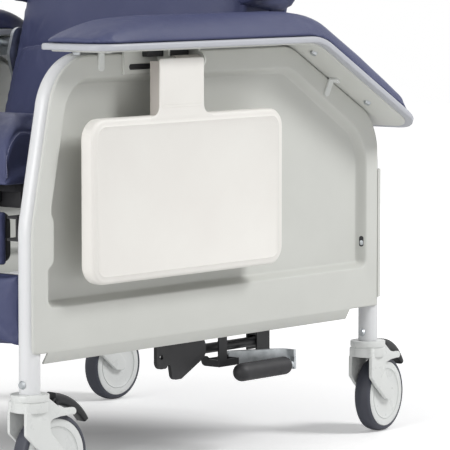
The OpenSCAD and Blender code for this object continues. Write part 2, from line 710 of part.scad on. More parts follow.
// Bolts: under the armrests, and through the leg ends into the caster stems
module bolt() {
    cylinder(h = bolt_grip, r = bolt_d / 2);
    translate([0, 0, -bolt_head_h]) cylinder(h = bolt_head_h, r1 = bolt_head * 0.36, r2 = bolt_head / 2);
}
module frame_screws() color("silver") seated() for (s = [-1, 1]) on_side(s) {
    at_arm_bolts() translate([0, 0, -seat_gap]) bolt();
    for (y = [-leg_y, leg_y]) translate([tube_x, y - tube_r - seat_gap, stem_bolt_z]) rotate([-90, 0, 0])
        bolt();
}

// Beam between the cross tubes, with the gas spring's rear bracket
beam_w = 25;
beam_in = 93;
beam_x = tube_x - beam_in;
spring_x = tube_x - spring_in;
spring_bracket_y = 182;
spring_bracket_l = 33;
spring_bracket_t = 3;
spring_bracket_drop = 14;
spring_bracket_in = spring_x - spring_d / 2 - pass_gap;
spring_bracket_out = spring_x + spring_d / 2 + pass_gap;
beam_low_z = rail_z - beam_w / 2;
module mechanism_beam() color("black") seated() {
    rear = spring_bracket_y + spring_bracket_l;
    difference() {
        block([beam_x, -cross_y, beam_low_z], [beam_x + beam_w, cross_y, beam_low_z + beam_w]);
        for (y = [-cross_y, cross_y]) translate([0, y, rail_z])
            bar_x(beam_x - cut, beam_x + beam_w + cut, rail_r + seat_gap);
    }
    for (x = [spring_bracket_in - spring_bracket_t, spring_bracket_out])
        block([x, spring_bracket_y, spring_z - spring_bracket_drop],
            [x + spring_bracket_t, rear, beam_low_z]);
    block([beam_x, spring_bracket_y, beam_low_z - spring_bracket_t],
        [spring_bracket_out + spring_bracket_t, rear, beam_low_z]);
    translate([0, spring_bracket_y + spring_bracket_l / 2, spring_z])
        bar_x(spring_bracket_in - spring_bracket_t, spring_bracket_out + spring_bracket_t, rod_d / 2);
}

// Gas spring: the cylinder stays with the frame and the rod moves with the seat
spring_front = 46;
spring_rear = spring_bracket_y + spring_bracket_l / 2;
eye_r = 9;
rod_reach = 16;
rod_rear = spring_rear - eye_r * 2;
module gas_spring_cylinder() color("black") seated() translate([spring_x, 0, spring_z]) difference() {
    union() {
        bar_y(spring_front, spring_rear, spring_d / 2);
        translate([0, spring_rear, 0]) bar_x(-spring_d / 2, spring_d / 2, eye_r);
    }
    bar_y(spring_front - cut, rod_rear, rod_d / 2 + run_gap);
    translate([0, spring_rear, 0]) bar_x(-spring_d, spring_d, rod_d / 2 + run_gap);
}
drive_clear = 3;
drive_x = spring_x + spring_d / 2 + drive_clear;
pin_y = spring_front - rod_reach;
module gas_spring_rod() color("silver") seated() translate([spring_x, 0, spring_z]) {
    bar_y(pin_y + eye_r / 2, rod_rear - pass_gap, rod_d / 2);
    difference() {
        translate([0, pin_y, 0]) bar_x(-rod_d, rod_d, eye_r);
        translate([0, pin_y, 0]) bar_x(-spring_d, spring_d, rod_d / 2 + run_gap);
    }
}

// Pedal: bracket under the beam, lever with its barrel, and grip
pedal_y = 70;
pedal_l = 50;
pedal_in = 5;
pedal_drop = 21;
pedal_x = spring_x - pedal_in;
pedal_z = spring_z - pedal_drop;
pedal_barrel = 6.5;
pedal_pin = 8;
ear_w = 3;
pedal_bracket_w = 16;
pedal_hanger_l = 20;
bracket_out = spring_x + spring_d / 2 + pedal_bracket_w;
pedal_ear_r = pedal_barrel + ear_w / 2;
lever_l = 20;
lever_y0 = pedal_y + pedal_l + pass_gap;
lever_y1 = lever_y0 + lever_l;
module pedal_bracket() color("black") seated() {
    top = beam_low_z - seat_gap;
    rear = pedal_y + pedal_l;
    block([beam_x, pedal_y, top - ear_w], [bracket_out, pedal_y + pedal_hanger_l, top]);
    block([bracket_out - ear_w, pedal_y, pedal_z - ear_w], [bracket_out, pedal_y + pedal_hanger_l, top]);
    block([bracket_out - ear_w, pedal_y, pedal_z - pedal_ear_r], [bracket_out, rear, pedal_z + ear_w]);
    for (y = [pedal_y, rear - ear_w]) {
        block([pedal_x, y, pedal_z - pedal_ear_r], [bracket_out, y + ear_w, pedal_z + ear_w]);
        translate([pedal_x, 0, pedal_z]) bar_y(y, y + ear_w, pedal_ear_r);
    }
    translate([pedal_x, 0, pedal_z]) {
        bar_y(pedal_y, lever_y1 + pass_gap + ear_w, pedal_pin / 2);
        bar_y(lever_y1 + pass_gap, lever_y1 + pass_gap + ear_w, pedal_barrel - cut);
    }
}
lever_t = 5;
lever_h = 22;
lever_run = 20;
lever_back = 12;
lever_bend = 16;
lever_rod = 7;
grip_x = tube_x + grip_out;
grip_y = 70;
grip_drop = 13.5;
grip_z = pedal_z - grip_drop;
grip_end = grip_y + grip_l;
module pedal_lever() color("silver") seated() {
    far = grip_end + lever_back;
    difference() {
        union() {
            translate([pedal_x, 0, pedal_z]) bar_y(lever_y0, lever_y1, pedal_barrel);
            translate([0, 0, pedal_z - lever_h / 2]) linear_extrude(lever_h) polygon(rounded([
                [pedal_x, lever_y0, panel_edge], [pedal_x + lever_t * 1.5, lever_y0, panel_edge],
                [grip_x - lever_run + lever_t, far, lever_bend], [grip_x + lever_rod, far, panel_edge],
                [grip_x + lever_rod, far + lever_t, panel_edge],
                [grip_x - lever_run, far + lever_t, lever_bend + lever_t],
                [pedal_x, lever_y0 + lever_t * 2, panel_edge]], base_steps));
        }
        translate([pedal_x, 0, pedal_z]) bar_y(lever_y0 - cut, lever_y1 + cut, pedal_pin / 2 + run_gap);
    }
    block([grip_x - lever_rod, far, grip_z - lever_rod], [grip_x + lever_rod, far + lever_t, pedal_z]);
    translate([grip_x, 0, grip_z]) bar_y(grip_y + grip_d, far + lever_t / 2, lever_rod);
}
module pedal_grip() color("dimgray") seated() translate([grip_x, 0, grip_z]) difference() {
    union() {
        bar_y(grip_y + grip_d / 3, grip_end - grip_d / 4, grip_d / 2);
        for (y = [grip_y + grip_d / 3, grip_end - grip_d / 4]) translate([0, y, 0])
            rotate_extrude() intersection() {
                scale(grip_d / 2) circle(r = 1);
                translate([0, -grip_d / 3]) square([grip_d, grip_d / 3 + grip_d / 4]);
            }
    }
    bar_y(grip_y + grip_d - pass_gap, grip_end + lever_back, lever_rod + run_gap);
}

// Pins in the leg ends that the casters turn on
stem_clear = 6;
stem_low = wheel_d + stem_clear;
module caster_stems() color("silver") seated() for (x = [-tube_x, tube_x]) for (y = [-leg_y, leg_y])
    translate([x, y, 0]) difference() {
        union() {
            translate([0, 0, stem_low]) cylinder(h = leg_end_z - stem_low, r = stem_pin_d / 2);
            translate([0, 0, leg_end_z]) cylinder(h = tube_d * 1.6, r = tube_r - tube_wall - run_gap);
        }
        translate([0, -tube_r - cut, stem_bolt_z]) bar_y(0, bolt_grip + 2 * cut, bolt_d / 2 + run_gap);
    }

// Back pivots: plates on the side tubes with inward pins
pivot_r = 8;
pivot_plate_r = 22;
pivot_plate_t = 8;
pivot_in = back_w / 2 + cut;
module back_pivots() color("silver") seated() for (s = [-1, 1]) on_side(s) {
    translate([0, pivot_y, pivot_z]) bar_x(pivot_in, runner_out, pivot_r);
    difference() {
        translate([0, pivot_y, pivot_z]) bar_x(runner_out - pivot_plate_t, runner_out, pivot_plate_r);
        block([pivot_in, pivot_y - tube_d, base_low_z - seat_gap - small_r],
            [tube_x, pivot_y + tube_d, base_low_z + tube_d]);
    }
}

// Places a drawing in the back: x across, y behind the pivot and z up along the back
module on_back() seated() translate([0, pivot_y, pivot_z]) rotate([-back_lean, 0, 0]) children();

back_board_r = 34;
back_panel_t = 6;
frame_back = back_rear - back_panel_t;
module slab(w, low, high, front, rear, r) translate([0, rear, 0]) rotate([90, 0, 0])
    linear_extrude(rear - front) polygon(rounded(rectangle(-w / 2, low, w / 2, high, r), base_steps));
module back_frame() color("darkslateblue") on_back()
    slab(back_w, -back_down, back_up - pad_inset, frame_back - back_frame_t, frame_back, back_board_r);

pad_shares = [-1, -0.97, -0.88, -0.7, -0.4, 0, 0.4, 0.7, 0.88, 0.97, 1];
// Upper or lower sheet of a boxed pad: half sizes a and b, boxing height s and crown height h
function sheet(us, vs, a, b, s, h, pull) = [for (u = us) [for (v = vs)
    [a * u * (1 - pull * (1 - v * v)), b * v * (1 - pull * (1 - u * u)),
        s + h * pow(1 - pow(abs(u), 6), 0.4) * pow(1 - pow(abs(v), 6),
            0.4) + h * 0.25 * (1 - u * u) * (1 - v * v)]]];
function shift(m, d) = [for (r = m) [for (p = r) p + d]];
function raise(m, k) = [for (r = m) [for (p = r) [p.x, p.y, p.z * k]]];

// A pad standing in the back's plane: its soft face looks forward from the flat rear face
module back_pad(w, low, high, face, rear, boxing, pull, vs, groove_v = [], groove = 0, groove_w = 1) {
    b = (high - low) / 2;
    top = sheet(pad_shares, vs, w / 2, b, boxing, (rear - face - boxing) / 1.25, pull);
    cutaway = [for (r = top) [for (j = [0:len(r) - 1]) let (p = r[j])
        [p.x, p.y, p.z - (p.z > boxing ? groove * max([0,
            for (g = groove_v) exp(-pow((vs[j] - g) / groove_w, 2))]) : 0)]]];
    translate([0, rear, (low + high) / 2]) rotate([90, 0, 0])
        skin(cutaway, [for (r = top) [for (p = r) [p.x, p.y, 0]]]);
}
module back_panel() {
    box = rectangle(-back_w / 2, -back_down, back_w / 2, back_up, back_board_r);
    function ring(e, w) = level(rounded(inset(box, e), base_steps), w);
    color("darkslateblue") on_back() translate([0, back_rear, 0]) rotate([90, 0, 0])
        stack([ring(pad_inset, 0), ring(pad_inset * 0.3, pad_inset * 0.3), ring(0, pad_inset),
            ring(0, back_panel_t - seat_gap)]);
}

head_h = 205;
head_low = back_up - head_h;
cushion_rear = frame_back - back_frame_t - seat_gap;
cushion_boxing = 62;
back_shares = [-1, -0.98, -0.92, -0.8, -0.6, -0.45, -0.38, -0.34, -0.3, -0.23, -0.1, 0.12, 0.22, 0.26, 0.3,
    0.4, 0.6, 0.8, 0.92, 0.98, 1];
channel_depth = 9;
module back_cushion() color("slateblue") on_back()
    back_pad(back_w, -back_down, head_low - seat_gap, -back_face, cushion_rear, cushion_boxing, 0.008,
        back_shares, [-0.34, 0.26], channel_depth, 0.03);
head_swell = 14;
module head_cushion() color("slateblue") on_back()
    back_pad(back_w, head_low + seat_gap, back_up, -back_face - head_swell, cushion_rear, cushion_boxing,
        0.012, pad_shares);

// Wings beside the cushion, with a lower edge that rises towards the rear
wing_low_front = 62;
wing_low_mid = 80;
wing_low_rear = 98;
flare_low_mid = 91;
flare_low_rear = 122;
wing_mid = 200;
wing_full = 330;
wing_top_drop = 8;
wing_rear = back_rear;
wing_turn = 72;
flare_turn = 27;
wing_front = 39;
wing_x = back_w / 2 + seat_gap;
wing_side = 18;
wing_step = 8;
wing_r = 26;
module wing(side) {
    function outline(turn, mid, rear) = [[-wing_front, wing_low_front, wing_r / 2], [turn, mid, wing_r],
        [wing_rear, rear, wing_r / 2], [wing_rear, back_up - wing_top_drop, wing_r],
        [-wing_front - wing_reach, back_up - wing_top_drop, wing_r * 2],
        [-wing_front - wing_reach, wing_full, wing_r * 2], [-wing_front, wing_mid, wing_r * 2]];
    round_in = wing_w - wing_side;
    flare = outline(flare_turn, flare_low_mid, flare_low_rear);
    side_ring = rounded(outline(wing_turn, wing_low_mid, wing_low_rear), base_steps);
    function ring(a) = level(rounded(inset(flare, round_in * 0.5 * (1 - cos(a))), base_steps),
        wing_x + wing_side + wing_step + (round_in - wing_step) * sin(a));
    color("slateblue") on_back() on_side(side) in_side(0)
        stack(concat([level(side_ring, wing_x), level(side_ring, wing_x + wing_side)],
            [for (a = [0:15:90]) ring(a)]));
}
module wing_left() wing(1);
module wing_right() wing(-1);

push_drop = 110;
push_z = back_up - push_drop;
push_reach = 62;
push_bend = 40;
push_foot = 4;
push_corners = [[-push_w / 2, back_rear + push_foot], [-push_w / 2, back_rear + push_reach],
    [push_w / 2, back_rear + push_reach], [push_w / 2, back_rear + push_foot]];
push_bends = [0, push_bend, push_bend, 0];
module push_handle() color("gainsboro") on_back() translate([0, 0, push_z]) {
    difference() {
        bent_bar(push_corners, push_bends, push_d / 2);
        bent_bar(push_corners, push_bends, push_d / 2 - tube_wall, cut);
    }
    for (x = [-push_w / 2, push_w / 2]) translate([x, 0, 0])
        bar_y(back_rear + seat_gap, back_rear + push_foot + seat_gap, push_d);
}

hinge_plate_t = 6;
hinge_low = 150;
hinge_up = 44;
hinge_front = 18;
module back_hinge_plates() {
    frame_front = frame_back - back_frame_t;
    outline = [[-hinge_front, -hinge_front * 1.4, hinge_front], [frame_front, -hinge_low, hinge_front / 2],
        [frame_back, -hinge_low, hinge_front / 2], [frame_back, hinge_up, hinge_front / 2],
        [frame_front, hinge_up, hinge_front / 2], [-hinge_front, hinge_front * 1.2, hinge_front]];
    color("silver") on_back() for (s = [-1, 1]) on_side(s) difference() {
        in_side(wing_x) linear_extrude(hinge_plate_t) polygon(rounded(outline, base_steps));
        bar_x(wing_x - cut, wing_x + hinge_plate_t + cut, pivot_r + run_gap);
    }
}

// Seat
seat_low_z = seat_top_z - seat_t;
board_low_z = seat_low_z - seat_gap - board_t;
seat_bar = 24;
seat_bar_in = 70;
seat_bar_x = tube_x - seat_bar_in;
seat_frame_top = board_low_z - seat_gap;
seat_board_in = 7;
hanger_t = 6;
hanger_w = 34;
stud_ys = [-252, -30];
stud_d = 10;
hanger_low_z = runner_z - stud_d;
hanger_top_z = seat_frame_top - seat_bar + hanger_t;
leg_arm_in = 120;
leg_arm_x = tube_x - leg_arm_in;
leg_arm_t = 6;
leg_ear_r = 13;
leg_pin = 10;
leg_ear_x = leg_arm_x + leg_arm_t + pass_gap;
bar_front_y = -leg_hinge_y + seat_bar;
bar_rear_y = seat_rear - board_t;
bar_low_z = seat_frame_top - seat_bar;
module seat_frame() color("black") seated() {
    for (s = [-1, 1]) on_side(s) {
        block([seat_bar_x - seat_bar, bar_front_y, bar_low_z], [seat_bar_x, bar_rear_y, seat_frame_top]);
        for (y = stud_ys) {
            block([seat_bar_x - cut, y - hanger_w / 2, bar_low_z],
                [drive_x + hanger_t, y + hanger_w / 2, hanger_top_z]);
            block([drive_x, y - hanger_w / 2, hanger_low_z], [drive_x + hanger_t, y + hanger_w / 2,
                hanger_top_z]);
            translate([0, y, runner_z]) bar_x(drive_x, runner_out - runner_web - glide_play, stud_d / 2);
        }
        translate([0, -leg_hinge_y, leg_hinge_z]) {
            bar_x(leg_ear_x, leg_ear_x + leg_arm_t, leg_ear_r);
            block([leg_ear_x, 0, -leg_ear_r], [leg_ear_x + leg_arm_t, seat_bar * 2,
                seat_frame_top - leg_hinge_z]);
            bar_x(leg_arm_x - leg_arm_t, leg_ear_x, leg_pin / 2);
        }
    }
    for (y = [bar_front_y, -seat_bar * 4, bar_rear_y - seat_bar])
        block([-seat_bar_x + seat_bar / 2, y, bar_low_z], [seat_bar_x - seat_bar / 2, y + seat_bar,
            seat_frame_top]);
}
// Nylon glides on the studs of the seat frame
glide_l = 46;
module seat_glides() color("white") seated() for (s = [-1, 1]) on_side(s) for (y = stud_ys)
    translate([0, y, runner_z]) difference() {
        in_side(runner_in + glide_play) linear_extrude(runner_w - runner_web - 2 * glide_play)
            polygon(rounded(rectangle(-glide_l / 2, -glide_h / 2, glide_l / 2, glide_h / 2, small_r),
                base_steps));
        bar_x(runner_in - cut, runner_out, stud_d / 2 + run_gap);
    }
module seat_board() color("tan") seated() translate([0, 0, board_low_z])
    linear_extrude(board_t) polygon(rounded(rectangle(-seat_w / 2 + seat_board_in,
        -leg_hinge_y + leg_ear_r + cut,
        seat_w / 2 - seat_board_in, seat_rear - pad_inset, back_board_r), base_steps));

// Soft seat cushion: upright boxing, a tight top edge and a round front
seat_x_shares = [-1, -0.99, -0.97, -0.94, -0.9, -0.86, -0.5, 0, 0.5, 0.86, 0.9, 0.94, 0.97, 0.99, 1];
seat_y_shares = [-1, -0.99, -0.97, -0.935, -0.89, -0.83, -0.76, -0.7, -0.4, 0, 0.4, 0.8, 0.87, 0.92, 0.96,
    0.985, 1];
seat_edge = 34;
seat_crown_share = 0.07;
seat_pull_share = 0.012;
module seat_cushion() {
    mid = (seat_rear - seat_front) / 2;
    half = (seat_rear + seat_front) / 2;
    function drop(d, r) = d >= r ? 0 : r - sqrt(r * r - pow(r - d, 2));
    function height(u, v) = seat_t - seat_t * seat_crown_share * (u * u + v * v) / 2
        - norm([drop(seat_w / 2 * (1 - abs(u)), seat_edge),
            v < 0 ? drop(half * (1 + v), seat_nose) : drop(half * (1 - v), seat_edge)]);
    top = [for (u = seat_x_shares) [for (v = seat_y_shares)
        [seat_w / 2 * u * (1 - seat_pull_share * (1 - v * v)),
            half * v * (1 - seat_pull_share * (1 - u * u)),
            height(u, v)]]];
    color("slateblue") seated() translate([0, mid, seat_low_z])
        skin(top, [for (r = top) [for (p = r) [p.x, p.y, 0]]]);
}

// Drive plates hang from the seat frame and take the gas spring's pin
drive_drop = 39;
drive_low = spring_z - drive_drop;
drive_top = hanger_low_z - seat_gap;
lobe_r = 15;
small_lobe_r = 12;
drive_front = -63;
module drive_plates() color("black") seated() for (s = [-1, 1]) on_side(s) {
    front = stud_ys[1] - hanger_w / 2;
    rear = stud_ys[1] + hanger_w / 2;
    waist = spring_z + lobe_r * 4;
    difference() {
        in_side(drive_x) linear_extrude(drive_t) polygon(rounded([
            [front, drive_top, panel_edge], [front, waist, lobe_r],
            [drive_front - small_lobe_r, spring_z + lobe_r * 2, lobe_r],
            [drive_front - small_lobe_r, spring_z - small_lobe_r * 1.6, small_lobe_r],
            [drive_front + small_lobe_r, spring_z - small_lobe_r * 1.6, small_lobe_r / 2],
            [drive_front + small_lobe_r * 1.6, spring_z - small_lobe_r * 0.5, small_lobe_r / 3],
            [drive_front + small_lobe_r * 2.2, drive_low, lobe_r * 0.7],
            [drive_front + small_lobe_r * 4, drive_low, lobe_r * 0.7],
            [pin_y + lobe_r, spring_z - eye_r, lobe_r], [pin_y + lobe_r, spring_z + lobe_r, lobe_r],
            [rear, waist, lobe_r], [rear, drive_top, panel_edge]], base_steps));
        translate([0, drive_front, spring_z]) bar_x(drive_x - cut, drive_x + drive_t + cut, rod_d / 2);
    }
    if (s > 0) translate([0, pin_y, spring_z]) bar_x(spring_x - rod_d, drive_x + drive_t, rod_d / 2);
}

// Leg rest: side arms on the hinge, a board and two pads
leg_arm_w = 26;
leg_arm_depth = 20;
leg_board_t = 9;
leg_pad_rear = -leg_face_y + leg_pad_t;
leg_board_rear = leg_pad_rear + seat_gap + leg_board_t;
leg_arm_front = leg_board_rear + seat_gap;
module legrest_frame() color("black") seated() {
    for (s = [-1, 1]) on_side(s) difference() {
        union() {
            translate([0, -leg_hinge_y, leg_hinge_z]) bar_x(leg_arm_x, leg_arm_x + leg_arm_t, leg_ear_r);
            block([leg_arm_x, leg_arm_front, foot_low_z + leg_arm_w],
                [leg_arm_x + leg_arm_t, leg_arm_front + leg_arm_depth, leg_hinge_z]);
        }
        translate([0, -leg_hinge_y, leg_hinge_z])
            bar_x(leg_arm_x - cut, leg_arm_x + leg_arm_t + cut, leg_pin / 2 + run_gap);
    }
    for (z = [foot_low_z + leg_arm_w, calf_low_z])
        block([-leg_arm_x - leg_arm_t / 2, leg_arm_front, z],
            [leg_arm_x + leg_arm_t / 2, leg_arm_front + leg_arm_t, z + leg_arm_w]);
}
module legrest_board() color("dimgray") seated()
    for (p = [[calf_w, calf_low_z, calf_top_z], [foot_w, foot_low_z, foot_top_z]])
        slab(p.x - pad_side, p.y + pad_side / 2, p.z - pad_side / 2, leg_pad_rear + seat_gap,
            leg_board_rear, lobe_r);
leg_shares = [-1, -0.94, -0.8, -0.55, 0, 0.55, 0.8, 0.94, 1];
leg_boxing_share = 0.4;
module leg_pad(w, low, high) {
    boxing = leg_pad_t * leg_boxing_share;
    top = sheet(pad_shares, leg_shares, w / 2, (high - low) / 2, boxing, (leg_pad_t - boxing) / 1.25,
        0.006);
    translate([0, leg_pad_rear, (low + high) / 2]) rotate([90, 0, 0])
        skin(top, [for (r = top) [for (p = r) [p.x, p.y, 0]]]);
}
module calf_pad() color("slateblue") seated() leg_pad(calf_w, calf_low_z, calf_top_z);
module foot_pad() color("slateblue") seated() leg_pad(foot_w, foot_low_z, foot_top_z);

// Casters, drawn with the stem at the origin and the wheel trailing rearwards
collar_top = leg_end_z - run_gap * 6;
collar_h = 24;
collar_seam = 10;
seam_depth = 1;
fork_play = 1.5;
fork_in = tyre_w / 2 + fork_play;
crown_clear = 4;
fork_crown_z = wheel_d + crown_clear;
fork_front = crown_clear - collar_r;
fork_rear = 24;
axle_z = wheel_r;
axle_r = axle_d / 2;
// Curved brake pedal over the tyre, hinged on a pin between the cheeks
brake_clear = 11;
brake_in = wheel_r + brake_clear;
brake_t = 9;
brake_w = 22;
brake_start = 36;
brake_pin = 2.5;
brake_barrel = 6.5;
ear_reach = 7;
brake_pin_y = trail + (brake_in + brake_t / 2) * cos(brake_start + brake_arc);
brake_pin_z = axle_z + (brake_in + brake_t / 2) * sin(brake_start + brake_arc);
// Outline of a fork cheek as [distance behind the stem, height, radius]
cheek_low = 52;
cheek_foot_r = 10;
cheek_front_low = 68;
cheek_slot = 10;
cheek_slot_top = 110;
horn_low = 107;
horn_end = 76;
horn_h = 12;
cheek_outline = [[fork_front, collar_top - collar_h, small_r],
    [fork_front, cheek_front_low + cheek_slot, small_r],
    [fork_front + cheek_slot, cheek_front_low, small_r], [fork_front + cheek_slot, cheek_slot_top, small_r],
    [fork_front + cheek_slot * 2, cheek_slot_top, small_r], [trail - cheek_foot_r, cheek_low, cheek_foot_r],
    [trail + cheek_foot_r, cheek_low, cheek_foot_r], [trail + small_r * 2, horn_low, cheek_foot_r],
    [horn_end, horn_low + small_r * 2, small_r], [horn_end - small_r, horn_low + small_r * 2 + horn_h,
        small_r],
    [brake_pin_y + ear_reach, fork_crown_z + small_r, small_r],
        [brake_pin_y + ear_reach, brake_pin_z + ear_reach, small_r],
    [collar_r + cut, brake_pin_z + ear_reach, small_r / 2], [fork_rear, fork_crown_z + small_r,
        small_r / 4]];
module at_caster(x, y, turn) { seated() translate([x, y, 0]) rotate([0, 0, -turn]) children(); }
module fork(x, y, turn) color("whitesmoke") at_caster(x, y, turn) {
    wide = fork_in + cheek_t;
    crown_h = collar_top - collar_seam - fork_crown_z;
    difference() {
        union() {
            translate([0, 0, collar_top - collar_seam]) cylinder(h = collar_seam, r = collar_r);
            translate([0, 0, fork_crown_z]) cylinder(h = crown_h, r = collar_r - seam_depth);
            translate([0, 0, fork_crown_z]) linear_extrude(crown_h)
                polygon(rounded(rectangle(-wide + cut, fork_front + cut, wide - cut, fork_rear, small_r),
                    base_steps));
        }
        translate([0, 0, fork_crown_z - cut]) cylinder(h = collar_top, r = stem_pin_d / 2 + run_gap);
    }
    for (x = [-wide, fork_in]) in_side(x) linear_extrude(cheek_t)
        polygon(rounded(cheek_outline, base_steps));
    translate([0, trail, axle_z]) bar_x(-wide - cut, wide + cut, axle_r);
    translate([0, brake_pin_y, brake_pin_z]) bar_x(-wide - cut, wide + cut, brake_pin);
}
hub_in = 1;
hub_face = tyre_w / 2 - hub_in;
hub_groove = 1.2;
groove_share = 0.773;
module wheel(x, y, turn) color("white") at_caster(x, y, turn) translate([0, trail, axle_z]) difference() {
    bar_x(-hub_face, hub_face, hub_d / 2);
    bar_x(-tyre_w, tyre_w, axle_r + run_gap);
    for (s = [-1, 1]) on_side(s) translate([hub_face - hub_groove, 0, 0]) difference() {
        bar_x(0, hub_groove + cut, hub_d / 2 * groove_share + hub_groove / 2);
        bar_x(-cut, hub_groove + 2 * cut, hub_d / 2 * groove_share - hub_groove / 2);
    }
}
tyre_round = 7;
tyre_crown = 1;
tyre_side = wheel_r - tyre_crown;
module tyre(x, y, turn) color("darkslategray") at_caster(x, y, turn) translate([0, trail, axle_z])
    rotate([0, 90, 0]) rotate_extrude($fn = 96) polygon(rounded([
        [hub_d / 2, -hub_face, panel_edge / 2], [tyre_side, -hub_face, tyre_round],
            [wheel_r, 0, tyre_w * 2],
        [tyre_side, hub_face, tyre_round], [hub_d / 2, hub_face, panel_edge / 2]], base_steps));
module brake(x, y, turn) color("black") at_caster(x, y, turn) difference() {
    union() {
        translate([0, trail, axle_z]) in_side(-brake_w / 2) rotate([0, 0, brake_start])
            rotate_extrude(angle = brake_arc) translate([brake_in, 0]) square([brake_t, brake_w]);
        translate([0, brake_pin_y, brake_pin_z]) bar_x(-brake_w / 2, brake_w / 2, brake_barrel);
    }
    translate([0, brake_pin_y, brake_pin_z]) bar_x(-brake_w, brake_w, brake_pin + run_gap);
}
caster_names = ["front_left", "front_right", "rear_left", "rear_right"];
caster_xs = [tube_x, -tube_x, tube_x, -tube_x];
caster_ys = [-leg_y, -leg_y, leg_y, leg_y];
module caster(part, k) {
    if (part == "fork") fork(caster_xs[k], caster_ys[k], caster_turns[k]);
    if (part == "wheel") wheel(caster_xs[k], caster_ys[k], caster_turns[k]);
    if (part == "tyre") tyre(caster_xs[k], caster_ys[k], caster_turns[k]);
    if (part == "brake") brake(caster_xs[k], caster_ys[k], caster_turns[k]);
}

side_frame_left();
side_frame_right();
cross_tubes();
seat_rails();
side_panel_left();
side_panel_right();
armrest_base_left();
armrest_base_right();
armrest_pad_left();
armrest_pad_right();
tray_bracket_left();
tray_bracket_right();
panel_clips();
frame_screws();
mechanism_beam();
gas_spring_cylinder();
pedal_bracket();
caster_stems();
back_pivots();
pedal_lever();
pedal_grip();
back_frame();
back_panel();
back_cushion();
head_cushion();
wing_left();
wing_right();
push_handle();
back_hinge_plates();
seat_frame();
seat_board();
seat_cushion();
drive_plates();
gas_spring_rod();
seat_glides();
legrest_frame();
legrest_board();
calf_pad();
foot_pad();
tray_left();
tray_right();
tray_arm_left();
tray_arm_right();
for (k = [0:len(caster_names) - 1]) for (part = ["fork", "wheel", "tyre", "brake"])
    caster(part, k);
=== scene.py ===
import math

import bmesh
import bpy
from mathutils import Matrix, Vector, bvhtree, kdtree, noise


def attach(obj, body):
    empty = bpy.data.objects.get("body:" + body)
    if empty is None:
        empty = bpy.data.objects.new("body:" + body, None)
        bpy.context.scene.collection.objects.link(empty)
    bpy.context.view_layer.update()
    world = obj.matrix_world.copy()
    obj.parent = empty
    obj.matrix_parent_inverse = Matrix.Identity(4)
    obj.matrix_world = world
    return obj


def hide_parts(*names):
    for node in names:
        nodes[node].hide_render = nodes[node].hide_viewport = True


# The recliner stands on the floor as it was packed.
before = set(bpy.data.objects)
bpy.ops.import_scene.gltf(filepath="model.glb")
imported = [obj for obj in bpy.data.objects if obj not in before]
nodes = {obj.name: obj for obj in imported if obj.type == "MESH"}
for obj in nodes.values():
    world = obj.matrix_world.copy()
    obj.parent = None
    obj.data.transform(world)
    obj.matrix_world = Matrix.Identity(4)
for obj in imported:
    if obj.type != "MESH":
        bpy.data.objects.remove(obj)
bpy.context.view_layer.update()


# The studio: a long lens at the height of the armrests, looking at the sitter's left side,
# over a pale floor under one broad lamp from the right and one weaker from the left.
lens_at = Vector((3.570, -4.01975, 0.832))
turn = math.radians(39.9)
ahead = Vector((-math.sin(turn), math.cos(turn), 0))
across = Vector((math.cos(turn), math.sin(turn), 0))
aim = ahead + 0.01360 * across - 0.08848 * Vector((0, 0, 1))
camera = bpy.data.objects.new("camera", bpy.data.cameras.new("camera"))
camera.data.sensor_width = 36
camera.data.lens = 265.7
camera.data.clip_end = 60
camera.location = lens_at
camera.rotation_mode = "QUATERNION"
camera.rotation_quaternion = aim.to_track_quat("-Z", "Y")
bpy.context.collection.objects.link(camera)
bpy.context.scene.camera = camera
bpy.context.scene.view_settings.view_transform = "Standard"


def lamp(name, place, target, width, watts):
    """A square softbox at a place, aimed at a point of the chair."""
    light = bpy.data.lights.new(name, "AREA")
    light.size = width
    light.energy = watts
    softbox = bpy.data.objects.new(name, light)
    softbox.location = place
    softbox.rotation_mode = "QUATERNION"
    softbox.rotation_quaternion = (Vector(target) - Vector(place)).to_track_quat("-Z", "Y")
    bpy.context.collection.objects.link(softbox)


lamp("lamp_right", (3.1, 1.7, 3.1), (0.2, 0, 0.45), 1.3, 118)
lamp("lamp_left", (0.3, -4.3, 1.7), (0.1, -0.2, 0.5), 2.2, 104)


class Value:
    """A socket of a material, on which arithmetic adds the Math nodes."""

    def __init__(self, finish, socket):
        self.finish, self.socket = finish, socket

    def math(self, operation, *others):
        return self.finish.add("Math", {"operation": operation}, dict(enumerate((self, *others))))

    def __add__(self, other):
        return self.math("ADD", other)

    def __sub__(self, other):
        return self.math("SUBTRACT", other)

    def __rsub__(self, other):
        return self.finish.add("Math", {"operation": "SUBTRACT"}, {0: other, 1: self})

    def __mul__(self, other):
        return self.math("MULTIPLY", other)

    __radd__, __rmul__ = __add__, __mul__


